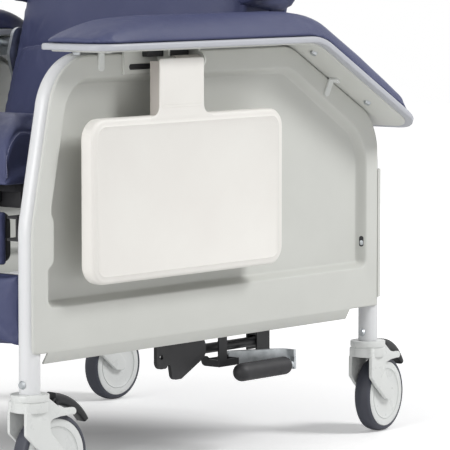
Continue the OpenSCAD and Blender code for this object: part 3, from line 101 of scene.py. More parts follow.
class Finish:
    """A material on the Principled shader, fed by nodes that read Object coordinates."""

    def __init__(self, name, **constants):
        self.material = bpy.data.materials.new(name)
        self.name = name
        self.material.use_nodes = True
        self.tree = self.material.node_tree
        self.shader = self.tree.nodes["Principled BSDF"]
        for socket, value in constants.items():
            self.shader.inputs[socket.replace("_", " ").title().replace("Ior", "IOR")].default_value = value
        self.place = self.add("TexCoord", {}, {}, "Object")

    def add(self, kind, settings, inputs, output=0):
        """Adds a node with its settings and then its socket values or links."""
        node = self.tree.nodes.new("ShaderNode" + kind)
        for name, value in settings.items():
            if name == "stops":
                ramp = node.color_ramp.elements
                while len(ramp) < len(value):
                    ramp.new(0.5)
                for element, (position, colour) in zip(ramp, value):
                    element.position, element.color = position, colour
            else:
                setattr(node, name, value)
        for name, value in inputs.items():
            self.feed(node.inputs[name], value)
        return Value(self, node.outputs[output])

    def feed(self, socket, value):
        if isinstance(value, Value):
            self.tree.links.new(value.socket, socket)
        else:
            socket.default_value = value

    def set(self, name, value):
        self.feed(self.shader.inputs[name], value)
        return self

    def noise(self, scale, detail=3, where=None, rough=0.5):
        return self.add("TexNoise", {}, {"Vector": where or self.place, "Scale": scale, "Detail": detail,
                                         "Roughness": rough})

    def blend(self, share, first, second):
        """Goes from the first colour to the second as the share goes from 0 to 1."""
        return self.add("Mix", {"data_type": "RGBA"}, {0: share, 6: first, 7: second}, 2)

    def span(self, value, low, high, to_low=0.0, to_high=1.0):
        return self.add("MapRange", {}, {0: value, 1: low, 2: high, 3: to_low, 4: to_high})

    def bump(self, height, depth, below=None):
        """Presses a height between 0 and 1 into the surface, depth metres deep."""
        inputs = {"Height": height, "Distance": depth, "Strength": 1.0}
        if below:
            inputs["Normal"] = below
        return self.add("Bump", {}, inputs)


def shade(red, green, blue):
    """A colour as it is read off a screen, turned into the shader's linear values."""
    return tuple((c / 12.92 if c <= 0.04045 else ((c + 0.055) / 1.055) ** 2.4)
                 for c in (red / 255, green / 255, blue / 255)) + (1.0,)


def moulding(name, colour, darker, roughness, grain=1500, depth=0.00008):
    """Painted or moulded surface: one colour with faint clouds, a fine grain and scuffed gloss."""
    finish = Finish(name)
    clouds = finish.noise(9, 4)
    finish.set("Base Color", finish.blend(finish.span(clouds, 0.3, 0.75), colour, darker))
    finish.set("Roughness", finish.span(finish.noise(60, 5), 0.3, 0.7, roughness - 0.05, roughness + 0.05))
    finish.set("Normal", finish.bump(finish.noise(grain, 2), depth))
    return finish


floor_mesh = bpy.data.meshes.new("floor")
floor = bpy.data.objects.new("floor", floor_mesh)
bpy.context.collection.objects.link(floor)
sheet = bmesh.new()
bmesh.ops.create_grid(sheet, x_segments=1, y_segments=1, size=9)
sheet.to_mesh(floor_mesh)
sheet.free()
floor_paint = Finish("floor_paint", specular_ior_level=0.1, emission_strength=1.0)
# Painted shadow: the floor's colour goes from grey to near white within 0.3 m of a point under the chair,
# standing in for the chair's shadow on the floor.
PAINTED_SHADOW_CENTRE = (-0.07, 0.12, 0)
under = floor_paint.add("VectorMath", {"operation": "DISTANCE"}, {0: floor_paint.place, 1: PAINTED_SHADOW_CENTRE},
                        "Value")
floor_paint.set("Base Color", floor_paint.blend(floor_paint.span(under, 0.04, 0.3), shade(170, 170, 170),
                                                shade(248, 248, 248)))
floor_paint.set("Roughness", 0.8)
# Painted light: for camera rays the floor glows, weakly near the chair and more strongly away from it, so the
# far floor reads white where the lamps fall off.
camera_ray = floor_paint.add("LightPath", {}, {}, "Is Camera Ray")
away = floor_paint.add("VectorMath", {"operation": "LENGTH"}, {0: floor_paint.place}, "Value")
glow = camera_ray * floor_paint.span(away, 0.12, 2.0, 0.12, 0.78)
floor_paint.set("Emission Color", floor_paint.blend(glow, (0, 0, 0, 1), (1, 1, 1, 1)))
floor_mesh.materials.append(floor_paint.material)

# The backdrop is the world's colour: white behind the chair and in its reflections, and a
# plain even light on everything else.
world = bpy.data.worlds.new("studio")
bpy.context.scene.world = world
world.use_nodes = True
sky, sky_links = world.node_tree.nodes, world.node_tree.links
path = sky.new("ShaderNodeLightPath")
seen = path.outputs["Is Camera Ray"]
for ray in ("Is Transmission Ray", "Is Glossy Ray"):
    either = sky.new("ShaderNodeMath")
    either.operation = "MAXIMUM"
    sky_links.new(seen, either.inputs[0])
    sky_links.new(path.outputs[ray], either.inputs[1])
    seen = either.outputs[0]
strength = sky.new("ShaderNodeMapRange")
strength.inputs["To Min"].default_value = 0.3
strength.inputs["To Max"].default_value = 1.0
sky_links.new(seen, strength.inputs[0])
sky_links.new(strength.outputs[0], sky["Background"].inputs["Strength"])
sky["Background"].inputs["Color"].default_value = (1, 1, 1, 1)


# Side frames, cross tubes and push handle: bent steel tube, welded and powder coated in a
# light grey with a faint orange peel, so they shine softly along their upper side.
frame_paint = moulding("frame_paint", shade(224, 225, 226), shade(218, 219, 221), 0.32, 260, 0.00006)


def dress(finish, *names):
    """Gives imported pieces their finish."""
    for name in names:
        for place in nodes[name].material_slots:
            place.material = finish.material


dress(frame_paint, "side_frame_left", "side_frame_right", "cross_tubes", "push_handle")


# Side panels: a vacuum-formed sheet 3 mm thick in a warm light grey. A wide recess with a
# soft roll round it stiffens each panel, its rear end wraps the rear leg and a lip turns in below.
panel_plastic = moulding("panel_plastic", shade(205, 206, 201), shade(200, 201, 196), 0.46, 900, 0.00005)
TUBE_X, LEG_Y = 298, 415
PANEL_X, PANEL_FRONT, PANEL_LOW, PANEL_TOP = 317.975, -428, 215, 650


def at(x, y, z):
    """A place in millimetres from the middle of the wheelbase, in the model's metres."""
    return Vector((x, y - 35.75, z)) / 1000


def drawn_in(corners, by):
    """Corners [u, v, radius] of an outline, moved inwards by a distance."""
    moved = []
    for k, (u, v, radius) in enumerate(corners):
        here = Vector((u, v))
        come = (here - Vector(corners[k - 1][:2])).normalized()
        leave = (Vector(corners[(k + 1) % len(corners)][:2]) - here).normalized()
        normal = Vector((-come.y, come.x)) + Vector((-leave.y, leave.x))
        here += normal * by / (1 + come.dot(leave))
        outward = come.x * leave.y - come.y * leave.x > 0
        moved.append((here.x, here.y, max(radius / 3, radius - by if outward else radius + by)))
    return moved


def rounded(shape, corners, place, segments=8):
    """A flat face whose corners [u, v, radius] are rounded, put in space by place(u, v)."""
    points = [shape.verts.new(place(u, v)) for u, v, radius in corners]
    face = shape.faces.new(points)
    for k, (u, v, radius) in enumerate(corners):
        here = Vector((u, v))
        after = Vector(corners[(k + 1) % len(corners)][:2])
        opening = (Vector(corners[k - 1][:2]) - here).angle(after - here)
        if radius and opening < 3.1:
            arc = bmesh.ops.bevel(shape, geom=[points[k]], offset=radius / 1000 / math.tan(opening / 2),
                                  offset_type="OFFSET", segments=segments, profile=0.5,
                                  affect="VERTICES", material=-1)["verts"]
            face = arc[0].link_faces[0]
    return face


def bridge(shape, first, second):
    """Joins the outlines of two faces with a wall."""
    bmesh.ops.bridge_loops(shape, edges=list(set(first.edges) | set(second.edges)))


def tiers(shape, corners, levels, place, segments=8, capped=(True, True)):
    """A closed form through levels (drawn in by, height), with place(u, v, height) for its points."""
    faces = [rounded(shape, drawn_in(corners, by), lambda u, v: place(u, v, height), segments)
             for by, height in levels]
    for low, high in zip(faces, faces[1:]):
        bridge(shape, low, high)
    unwanted = faces[1:-1] + [face for face, keep in zip((faces[0], faces[-1]), capped) if not keep]
    bmesh.ops.delete(shape, geom=unwanted, context="FACES_ONLY")
    return faces


def quarter(radius, start, way, steps=4, inset=0):
    """Levels of an edge rounded to a radius, from the side up to the face at start."""
    angles = [math.pi / 2 * k / steps for k in range(steps + 1)]
    return [(inset + radius * (1 - math.cos(a)), start - way * radius * (1 - math.sin(a))) for a in angles]


def built(name, shape, finish, body, *replaced, crease=38):
    """Makes a piece of a drawn shape: smooth, in its finish, and riding on its body."""
    bmesh.ops.remove_doubles(shape, verts=shape.verts, dist=0.00002)
    bmesh.ops.recalc_face_normals(shape, faces=shape.faces)
    mesh = bpy.data.meshes.new(name)
    shape.to_mesh(mesh)
    shape.free()
    mesh.materials.append(finish.material)
    mesh.shade_smooth()
    mesh.set_sharp_from_angle(angle=math.radians(crease))
    thing = bpy.data.objects.new(name, mesh)
    bpy.context.collection.objects.link(thing)
    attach(thing, body)
    if replaced:
        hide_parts(*replaced)
    return thing


def both_sides(name, shape, finish, bodies, replaced=None, crease=38):
    """Makes a left piece and its mirror image on the right."""
    for side, body in zip(("left", "right"), bodies):
        twin = shape.copy()
        if side == "right":
            bmesh.ops.scale(twin, vec=(-1, 1, 1), verts=twin.verts)
        built(f"{name}_{side}", twin, finish, body, *([f"{replaced}_{side}"] if replaced else []),
              crease=crease)
    shape.free()


def knee_y(z, start):
    """Where a line that leans back by 12.1 degrees above z = 400 passes a height."""
    return start + max(0, z - 400) * math.tan(math.radians(12.1))


slope = math.tan(math.radians(29))
panel = bmesh.new()
outer = [(PANEL_FRONT, PANEL_LOW, 9), (LEG_Y, PANEL_LOW, 0), (LEG_Y, PANEL_TOP - (LEG_Y - 181) * slope, 80),
         (181, PANEL_TOP, 60), (knee_y(PANEL_TOP, PANEL_FRONT), PANEL_TOP, 85), (PANEL_FRONT, 400, 120)]
recess_top = PANEL_TOP - 32
recess = [(-397, 279, 16), (385, 279, 16), (385, recess_top - (385 - 182.8) * math.tan(math.radians(31)), 80),
          (182.8, recess_top, 60),
          (-389.2 + (recess_top - 429) * math.tan(math.radians(12.1)), recess_top, 60),
          (-389.2, 429, 40), (-389.2, 419, 4), (-384, 409, 7), (-384, 349, 7), (-397, 339, 7)]
tiers(panel, outer, [(0, -4)] + quarter(3.4, 0, 1, 4), lambda u, v, h: at(PANEL_X + h, u, v), 10,
      (False, False))
walls = [(0, 0), (0.9, -0.15), (1.9, -0.7), (3.1, -2.0), (4.6, -4.6), (6.4, -8), (8.2, -11.4), (9.7, -14),
         (10.9, -15.3), (11.9, -15.85), (12.8, -16)]
tiers(panel, recess, walls, lambda u, v, h: at(PANEL_X + h, u, v), 10, (False, True))
rim = [edge for edge in panel.edges
       if edge.is_boundary and all(abs(v.co.x * 1000 - PANEL_X) < 0.01 for v in edge.verts)]
bmesh.ops.triangle_fill(panel, edges=rim, use_beauty=True, use_dissolve=False)
bmesh.ops.recalc_face_normals(panel, faces=panel.faces)
if sum(face.normal.x * face.calc_area() for face in panel.faces) < 0:
    bmesh.ops.reverse_faces(panel, faces=panel.faces)
bmesh.ops.solidify(panel, geom=panel.faces, thickness=0.0028)
# the rear edge wraps the leg
spine = [panel.verts.new(at(PANEL_X - depth, LEG_Y, z))
         for depth, z in ((0, 229), (0, 441), (2.4, 441), (2.4, 229))]
wrap = panel.faces.new(spine)
bmesh.ops.spin(panel, geom=[wrap] + wrap.edges[:] + spine, cent=at(TUBE_X, LEG_Y, 0), axis=(0, 0, 1),
               angle=math.radians(100), steps=14, use_duplicate=False)
# and the lip turns in under the band
lip = rounded(panel, [(PANEL_X - 3.2, PANEL_LOW + 5, 0), (PANEL_X - 3.2, PANEL_LOW + 1, 1),
                      (PANEL_X - 13, PANEL_LOW - 15.5, 0), (PANEL_X - 10, PANEL_LOW - 17, 1),
                      (PANEL_X - 0.4, PANEL_LOW + 1, 1), (PANEL_X - 0.4, PANEL_LOW + 5, 0)],
              lambda u, v: at(u, -396, v), 3)
far = bmesh.ops.extrude_face_region(panel, geom=[lip])["geom"]
bmesh.ops.translate(panel, vec=(0, 0.736, 0), verts=[v for v in far if isinstance(v, bmesh.types.BMVert)])
both_sides("panel_moulding", panel, panel_plastic, ("frame", "frame"), "side_panel")


# Armrest boards: a moulded board 12.5 mm thick with a round edge, bent down over the rear bend
# of the tube. A cream plate closes its hollow underside, set in behind a narrow groove.
board_plastic = moulding("board_plastic", shade(184, 186, 192), shade(179, 181, 188), 0.42)
bracket_paint = moulding("bracket_paint", shade(214, 215, 210), shade(206, 207, 202), 0.4)
ARM_IN, ARM_OUT, ARM_FRONT, BOARD_LOW, BOARD_T = 261, 388, -351, 655.075, 12.5
BEND_Y, BEND_R, BEND = 149.31, 96.075, math.radians(29)
to_bend = BEND_Y - ARM_FRONT
to_slope = to_bend + BEND_R * BEND
board_l = to_slope + (443 - BEND_Y - BEND_R * math.sin(BEND)) / math.cos(BEND)


def over_bend(x, along, up):
    """A place at a distance along the armrest from its front end, and a height over the tube."""
    angle = min(max(0, along - to_bend) / BEND_R, BEND)
    past = max(0, along - to_slope)
    reach = BEND_R + up
    return at(x, min(along + ARM_FRONT, BEND_Y) + reach * math.sin(angle) + past * math.cos(angle),
              BOARD_LOW - BEND_R + reach * math.cos(angle) - past * math.sin(angle))


def bent(shape, cuts):
    """Cuts a shape drawn flat, as (x, along, up), across its bend and bends it over the tube."""
    for along in cuts:
        bmesh.ops.bisect_plane(shape, geom=shape.verts[:] + shape.edges[:] + shape.faces[:], dist=1e-7,
                               plane_co=(0, along / 1000, 0), plane_no=(0, 1, 0))
    for vert in shape.verts:
        vert.co = over_bend(*(vert.co * 1000))
    return shape


plan = [(ARM_IN, 0, 10), (ARM_OUT, 0, 34), (ARM_OUT, board_l, 48), (ARM_IN, board_l, 10)]
bend_cuts = [to_bend + (to_slope - to_bend) * k / 10 for k in range(11)]
flat = lambda u, v, h: Vector((u, v, h)) / 1000
board = bmesh.new()
tiers(board, plan, [(9, 2.6)] + quarter(2.2, 2.6, -1, 3)[::-1][1:] + quarter(3.6, BOARD_T, 1, 4), flat, 6)
both_sides("armrest_board", bent(board, bend_cuts), board_plastic, ("frame", "frame"), "armrest_base")
under = bmesh.new()
tiers(under, plan, [(12.5, 2.5), (12.5, 0.8), (13.2, 0.1)], flat, 6)
both_sides("armrest_underside", bent(under, bend_cuts), bracket_paint, ("frame", "frame"))


# Armrest pads: foam on the board under one skin of blue vinyl, drawn tight over the front end,
# where it creases a little, and stapled below. The foam swells, so each is simulated as a cushion.
vinyl = Finish("vinyl", coat_weight=0.05, coat_roughness=0.4, specular_ior_level=0.3)
hide = vinyl.add("TexVoronoi", {"feature": "DISTANCE_TO_EDGE"}, {"Vector": vinyl.place, "Scale": 1100.0})
crackle = vinyl.span(hide, 0.0, 0.12)
clouds = vinyl.noise(7, 4)
tint = vinyl.blend(vinyl.span(clouds, 0.3, 0.72), shade(68, 73, 106), shade(76, 81, 114))
vinyl.set("Base Color", vinyl.blend(vinyl.span(crackle, 0, 1, 0.25, 0), tint, shade(54, 58, 90)))
vinyl.set("Roughness", vinyl.span(vinyl.noise(45, 5), 0.3, 0.7, 0.4, 0.5))
soft_waves = vinyl.bump(vinyl.noise(28, 3), 0.0005)
vinyl.set("Normal", vinyl.bump(crackle * 0.6 + vinyl.noise(2200, 2) * 0.4, 0.00012, soft_waves))


def blank(node):
    """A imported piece's own form, merged, to start a cushion from."""
    form = bmesh.new()
    form.from_mesh(nodes[node].data)
    bmesh.ops.remove_doubles(form, verts=form.verts, dist=0.00001)
    return form


def settled(thing):
    """Applies the modifiers of an object to its mesh."""
    done = bpy.data.meshes.new_from_object(thing.evaluated_get(bpy.context.evaluated_depsgraph_get()))
    thing.modifiers.clear()
    thing.data = done


def worked(cushion, shift):
    """Moves each point of a finished cushion along its normal by shift(place, normal)."""
    mesh = cushion.data
    moves = [vert.normal * shift(vert.co, vert.normal) for vert in mesh.vertices]
    for vert, move in zip(mesh.vertices, moves):
        vert.co += move
    mesh.update()


def stuffed(name, form, voxel, shrink, cap, held, body, node):
    """A cushion: the form is drawn in, blown up as cloth with its held side fixed, and smoothed.

    It may move no further than cap (in metres) anywhere, so it stays clear of its neighbours."""
    mesh = bpy.data.meshes.new(name)
    form.to_mesh(mesh)
    form.free()
    cushion = bpy.data.objects.new(name, mesh)
    bpy.context.collection.objects.link(cushion)
    remesh = cushion.modifiers.new("foam", "REMESH")
    remesh.mode, remesh.voxel_size = "VOXEL", voxel
    settled(cushion)
    worked(cushion, lambda place, normal: 0 if held(place) else -shrink)
    before = [vert.co.copy() for vert in cushion.data.vertices]
    group = cushion.vertex_groups.new(name="held")
    group.add([vert.index for vert in cushion.data.vertices if held(vert.co)], 1.0, "REPLACE")
    cloth = cushion.modifiers.new("cover", "CLOTH")
    cloth.settings.use_pressure = True
    cloth.settings.uniform_pressure_force = 4
    cloth.settings.vertex_group_mass = "held"
    cloth.settings.quality = 4
    cloth.settings.tension_stiffness = cloth.settings.compression_stiffness = 12
    cloth.settings.bending_stiffness = 0.4
    cloth.settings.effector_weights.gravity = 0
    for moment in range(1, 21):
        bpy.context.scene.frame_set(moment)
    settled(cushion)
    for vert, start in zip(cushion.data.vertices, before):
        move = vert.co - start
        if move.length > cap:
            vert.co = start + move * (cap / move.length)
    bpy.context.scene.frame_set(1)
    smoother = cushion.modifiers.new("skin", "SUBSURF")
    smoother.levels = smoother.render_levels = 1
    settled(cushion)
    cushion.data.materials.clear()
    cushion.data.materials.append(vinyl.material)
    cushion.data.shade_smooth()
    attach(cushion, body)
    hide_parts(node)
    return cushion


def mirrored(cushion, name, body, node):
    """The same cushion on the other side of the chair."""
    form = bmesh.new()
    form.from_mesh(cushion.data)
    bmesh.ops.scale(form, vec=(-1, 1, 1), verts=form.verts)
    bmesh.ops.reverse_faces(form, faces=form.faces)
    twin = built(name, form, vinyl, body, node, crease=180)
    return twin


def arm_foot(place):
    """True for a point of the pad that is glued down to the board."""
    y = place.y * 1000 + 35.75
    top = over_bend(0, y - ARM_FRONT if y < BEND_Y else to_bend + (y - BEND_Y) / 0.93, BOARD_T).z
    return place.z < top + 0.0035


def arm_creases(place, normal):
    """Short creases that run back from the front end, where the cover is pulled down."""
    front = max(0.0, 1 - (place.y - at(0, ARM_FRONT, 0).y) / 0.16)
    wave = noise.noise(Vector((place.x * 55, place.y * 9, 3.1)))
    return 0.0016 * front * front * wave * max(0.0, normal.z + 0.2) + 0.0004 * noise.noise(place * 14)


arm_pad = stuffed("armrest_cover_left", blank("armrest_pad_left"), 0.0048, 0.002, 0.0035, arm_foot, "frame",
                  "armrest_pad_left")
worked(arm_pad, arm_creases)
mirrored(arm_pad, "armrest_cover_right", "frame", "armrest_pad_right")


# Seat cushion: a foam block with an upright border, a top panel that rolls over the round
# front, and a seam between them that is gathered where it turns down over the front.
def sewn(name, line, cushion, body, rows, pitch=0.0042, pull=0.0017, width=0.0035):
    """Draws a cushion in along a line of places and sews rows of stitches beside it."""
    mesh = cushion.data
    skin = bvhtree.BVHTree.FromPolygons([vert.co for vert in mesh.vertices],
                                        [face.vertices for face in mesh.polygons])
    beads = []
    for start, end in zip(line, line[1:]):
        steps = max(1, round((end - start).length / 0.001))
        beads += [skin.find_nearest(start.lerp(end, k / steps))[:2] for k in range(steps)]
    near = kdtree.KDTree(len(beads))
    for k, (bead, normal) in enumerate(beads):
        near.insert(bead, k)
    near.balance()
    worked(cushion, lambda place, normal: -pull * math.exp(-min(30, (near.find(place)[2] / width) ** 2)))
    skin = bvhtree.BVHTree.FromPolygons([vert.co for vert in mesh.vertices],
                                        [face.vertices for face in mesh.polygons])
    threads = bmesh.new()
    stride = max(1, round(pitch / 0.001))
    for row in rows:
        for k in range(stride, len(beads) - stride, stride):
            along = (beads[k + stride][0] - beads[k - stride][0]).normalized()
            place, normal = skin.find_nearest(beads[k][0] + along.cross(beads[k][1]) * row)[:2]
            side = normal.cross(along).normalized()
            turned = Matrix((along, side, along.cross(side))).transposed().to_4x4()
            bmesh.ops.create_icosphere(threads, subdivisions=1, radius=1, matrix=Matrix.Translation(
                place + normal * 0.0001) @ turned @ Matrix.Diagonal((pitch * 0.36, 0.00055, 0.00045, 1)))
    return built(name, threads, thread_yarn, body, crease=180)


thread_yarn = Finish("vinyl", sheen_weight=0.3)
twist = thread_yarn.noise(2500, 2)
thread_yarn.set("Base Color", thread_yarn.blend(twist, shade(150, 152, 178), shade(128, 130, 160)))
thread_yarn.set("Roughness", thread_yarn.span(twist, 0.3, 0.7, 0.6, 0.75))

SEAT_LOW, SEAT_REAR = 458, 49


def seat_held(place):
    """True where the seat cushion rests on its board or is pressed by the back."""
    return place.z < SEAT_LOW / 1000 + 0.004 or place.y > (SEAT_REAR - 35.75) / 1000 - 0.006


SEAT_FALL, SEAT_HOLLOW, HOLLOW_HALF = 0.022, 0.006, 0.24
FALL_FROM, FALL_OVER, SINK_FROM, SINK_OVER = -350, 330, 480, 82
seat_form = blank("seat_cushion")
for vert in seat_form.verts:
    # the top falls towards the back and is hollowed where the sitter's weight goes
    top = max(0, vert.co.z * 1000 - SINK_FROM) / SINK_OVER
    rear = min(1, max(0, (vert.co.y * 1000 + 35.75 - FALL_FROM) / FALL_OVER))
    hollow = SEAT_HOLLOW * rear * (1 - min(1, abs(vert.co.x) / HOLLOW_HALF) ** 4)
    vert.co.z -= (SEAT_FALL * rear + hollow) * top
seat = stuffed("seat_cover", seat_form, 0.006, 0.005, 0.008, seat_held, "seat", "seat_cushion")
NOSE_Y, NOSE_Z, SEAM_R = -345, 488, 59


def gathers(place, normal):
    """Pleats that fan out from the gathered seam over the front, and soft waves on the top."""
    y, z = place.y * 1000 + 35.75 - NOSE_Y, place.z * 1000 - NOSE_Z
    reach = math.hypot(min(0, y), max(0, z))
    over = min(1, max(0, (reach - SEAM_R) / 5)) * math.exp(-max(0, reach - SEAM_R) / 16)
    near_side = max(0, (abs(place.x) * 1000 - 205) / 35)
    angle = math.atan2(max(0, z), -min(0, y))
    pleat = math.cos(angle * 46) * over * min(1, near_side) if y < 6 and z > -6 else 0
    return 0.0009 * pleat + 0.0007 * noise.noise(place * 11)


worked(seat, gathers)
SEAM_TOP_X, SEAM_NOSE_X = 242, 240
for side, way in (("left", 1), ("right", -1)):
    edge = [at(way * SEAM_TOP_X, 36, NOSE_Z + SEAM_R - 22),
            at(way * SEAM_TOP_X, NOSE_Y + 40, NOSE_Z + SEAM_R - 1)]
    edge += [at(way * SEAM_NOSE_X, NOSE_Y - SEAM_R * math.sin(a), NOSE_Z + SEAM_R * math.cos(a))
             for a in (math.radians(9 * k) for k in range(11))]
    edge.append(at(way * SEAM_NOSE_X, NOSE_Y - SEAM_R, SEAT_LOW + 8))
    sewn(f"seat_seam_{side}", edge, seat, "seat", (-0.0025,), pull=0.0024)


# Back: foam on a board with two sewn channels, a head cushion over it, a padded rear panel,
# and wings beside it.
PIVOT_Y, PIVOT_Z, LEAN = 150, 645, math.radians(17)
BACK_SIDE, BACK_DOWN, BACK_UP, HEAD_LOW, BOARD_FACE = 240, -175, 528, 323, 61


def in_back(place):
    """A place in millimetres across the back, behind the pivot line and up along the back."""
    y, z = place.y * 1000 + 35.75 - PIVOT_Y, place.z * 1000 - PIVOT_Z
    return Vector((place.x * 1000, y * math.cos(LEAN) - z * math.sin(LEAN),
                   y * math.sin(LEAN) + z * math.cos(LEAN)))


def off_back(x, y, z):
    """The place in space of a point given in the back's own millimetres."""
    return at(x, PIVOT_Y + y * math.cos(LEAN) + z * math.sin(LEAN),
              PIVOT_Z - y * math.sin(LEAN) + z * math.cos(LEAN))


def back_held(place):
    """True where a back cushion rests on its board, a wing or the cushion next to it."""
    here = in_back(place)
    pressed = abs(here.x) > BACK_SIDE - 7 or min(abs(here.z - HEAD_LOW), abs(here.z - BACK_DOWN)) < 6
    return here.y > BOARD_FACE - 6 or (pressed and here.y > -8)


back_cover = stuffed("back_cover", blank("back_cushion"), 0.006, 0.004, 0.012, back_held, "back",
                     "back_cushion")
head_cover = stuffed("head_cover", blank("head_cushion"), 0.006, 0.004, 0.012, back_held, "back",
                     "head_cushion")


def soft_waves_back(place, normal):
    """Shallow waves in a cover that is stretched over soft foam."""
    return 0.0009 * noise.noise(place * 9)


worked(back_cover, soft_waves_back)
worked(head_cover, soft_waves_back)
for number, z in enumerate((-11.0, 138.5)):
    channel = [off_back(x, -30, z) for x in range(-230, 231, 10)]
    sewn(f"back_channel_{number + 1}", channel, back_cover, "back", (0,), pitch=0.005, pull=0.0025)


def wing_held(place):
    """True where a wing lies against the back."""
    return abs(place.x) * 1000 < BACK_SIDE + 6


CORNER_OUT, WING_IN = 0.009, 0.012


def wing_slope(place, normal):
    """Draws the lower part of the wing in, so that its side looks down, and its rear corner out."""
    here = in_back(place)
    low = max(0, min(1, (205 - here.z) / 110))
    corner = max(0, min(1, (here.y - 40) / 50)) * max(0, min(1, (175 - here.z) / 50))
    outside = max(0, min(1, (abs(here.x) - 262) / 20))
    return (CORNER_OUT * corner - WING_IN * low * (1 - corner)) * max(0, normal.x) * outside


wing = stuffed("wing_cover_left", blank("wing_left"), 0.005, 0.003, 0.006, wing_held, "back", "wing_left")
worked(wing, wing_slope)
mirrored(wing, "wing_cover_right", "back", "wing_right")

shell = bmesh.new()
board_corners = [(-BACK_SIDE, BACK_DOWN, 34), (BACK_SIDE, BACK_DOWN, 34), (BACK_SIDE, BACK_UP, 34),
                 (-BACK_SIDE, BACK_UP, 34)]
upright = lambda u, v, h: off_back(u, h, v)
tiers(shell, board_corners, [(3, 91.2), (1.4, 92.6), (0.2, 95.6), (1.2, 98.4), (4, 100.2), (9, 101.6),
                             (24, 103.2), (60, 104.2)], upright, 6)
built("back_shell", shell, vinyl, "back", "back_panel")
box = bmesh.new()
tiers(box, board_corners, [(3.2, 61.2), (2.4, 63), (2.4, 89), (3.2, 90.8)], upright, 6)
built("back_border", box, vinyl, "back", "back_frame")


# Leg rest: two flat pads on padded boards, which hang below the seat and swing up with the
# back, the calf pad narrower than the foot pad, each in the same vinyl over thin foam.
def leg_held(place):
    """True where a leg pad rests on its board."""
    return place.y > at(0, -393, 0).y


for name, node in (("calf_cover", "calf_pad"), ("foot_cover", "foot_pad")):
    worked(stuffed(name, blank(node), 0.005, 0.0025, 0.006, leg_held, "legrest", node), soft_waves_back)


# Side trays: a blow-moulded panel with round edges and a raised line round its face. Its neck
# is flush with the face and holds a steel channel that swings on a pin under the armrest.
tray_plastic = moulding("tray_plastic", shade(232, 230, 225), shade(228, 225, 220), 0.5, 700, 0.00006)
arm_steel = moulding("arm_steel", shade(188, 182, 176), shade(181, 175, 170), 0.42, 300, 0.00004)
TRAY_FRONT, TRAY_REAR, TRAY_LOW, TRAY_TOP, TRAY_IN, TRAY_FACE = -346, 107, 312, 557, 337, 361
NECK_FRONT, NECK_REAR, NECK_TOP = -192, -88, 642
tray = bmesh.new()
upright_side = lambda u, v, h: at(h, u, v)
face_box = [(TRAY_FRONT, TRAY_LOW, 30), (TRAY_REAR, TRAY_LOW, 30), (TRAY_REAR, TRAY_TOP, 30),
            (TRAY_FRONT, TRAY_TOP, 30)]
tiers(tray, face_box, quarter(5, TRAY_IN, -1, 4)[::-1] + quarter(6, TRAY_FACE, 1, 6)
      + [(10.4, TRAY_FACE + 0.02), (10.8, TRAY_FACE + 0.3), (11.3, TRAY_FACE + 0.55),
         (12.2, TRAY_FACE + 0.57), (12.7, TRAY_FACE + 0.3), (13.1, TRAY_FACE + 0.02)], upright_side, 10)
base_z = TRAY_TOP - 6
neck = [(NECK_FRONT - 24, base_z - 1.9, 0), (NECK_REAR + 24, base_z - 1.9, 0),
        (NECK_REAR + 24, base_z + 1, 0),
        (NECK_REAR + 17, TRAY_TOP - 0.6, 12), (NECK_REAR, TRAY_TOP + 1, 14), (NECK_REAR, NECK_TOP, 4),
        (NECK_FRONT, NECK_TOP, 4), (NECK_FRONT, TRAY_TOP + 1, 14), (NECK_FRONT - 17, TRAY_TOP - 0.6, 12),
        (NECK_FRONT - 24, base_z + 1, 0)]
tiers(tray, neck, [(0.9, TRAY_FACE - 3)] + quarter(1.6, TRAY_FACE, 1, 4), upright_side, 5)
# two fine ribs across the foot of the neck
for z in (568, 572.5):
    rib = [(NECK_FRONT + 6, z, 0.3), (NECK_REAR - 6, z, 0.3), (NECK_REAR - 6, z + 1, 0.3),
           (NECK_FRONT + 6, z + 1, 0.3)]
    tiers(tray, rib, [(0, TRAY_FACE - 0.4), (0, TRAY_FACE + 0.1), (0.25, TRAY_FACE + 0.35)], upright_side, 2)
both_sides("tray_moulding", tray, tray_plastic, ("left_tray", "right_tray"), "tray")
# black rubber: a block above the channel and a liner in the slot of the hinge plate, whose black is
# painted shade that stands in for the shadow in the gap under the armrest and inside the slot
gap_shade_block = bmesh.new()
tiers(gap_shade_block, [(-188, 644, 2), (-92, 644, 2), (-92, 654.4, 2), (-188, 654.4, 2)],
      [(1, 321.6), (0, 322.4), (0, 333), (1, 334)], upright_side, 3)
grip_rubber = moulding("grip_rubber", shade(38, 38, 41), shade(30, 30, 33), 0.55, 1700, 0.00009)
both_sides("tray_gap_shade", gap_shade_block, grip_rubber, ("frame", "frame"))
slot = [(-218, 625, 4.4), (-163, 625, 4.4), (-163, 634, 4.4), (-218, 634, 4.4)]
slot_shade_liner = bmesh.new()
tiers(slot_shade_liner, slot, [(0.5, 318.6), (0.4, 321.3), (0.9, 321.9)], upright_side, 6)
both_sides("slot_shade", slot_shade_liner, grip_rubber, ("frame", "frame"))
dress(arm_steel, "tray_arm_left", "tray_arm_right")
dress(bracket_paint, "tray_bracket_left", "tray_bracket_right")


# Screws, clips and stems: zinc-plated bolts under the armrests and through the legs, and white
# nylon clips pressed over the side tube that hold the panel's rim.
zinc = Finish("zinc", metallic=1.0)
tarnish = zinc.noise(90, 4)
zinc.set("Base Color", zinc.blend(zinc.span(tarnish, 0.3, 0.75), shade(206, 210, 213), shade(176, 181, 184)))
zinc.set("Roughness", zinc.span(zinc.noise(60, 3), 0.3, 0.7, 0.36, 0.46))
zinc.set("Normal", zinc.bump(zinc.noise(60, 2), 0.00003))
white_nylon = moulding("white_nylon", shade(226, 228, 226), shade(219, 221, 219), 0.38, 1300, 0.00004)
dress(zinc, "frame_screws", "caster_stems", "back_pivots", "back_hinge_plates", "gas_spring_rod",
      "pedal_lever")
dress(white_nylon, "panel_clips", "seat_glides")
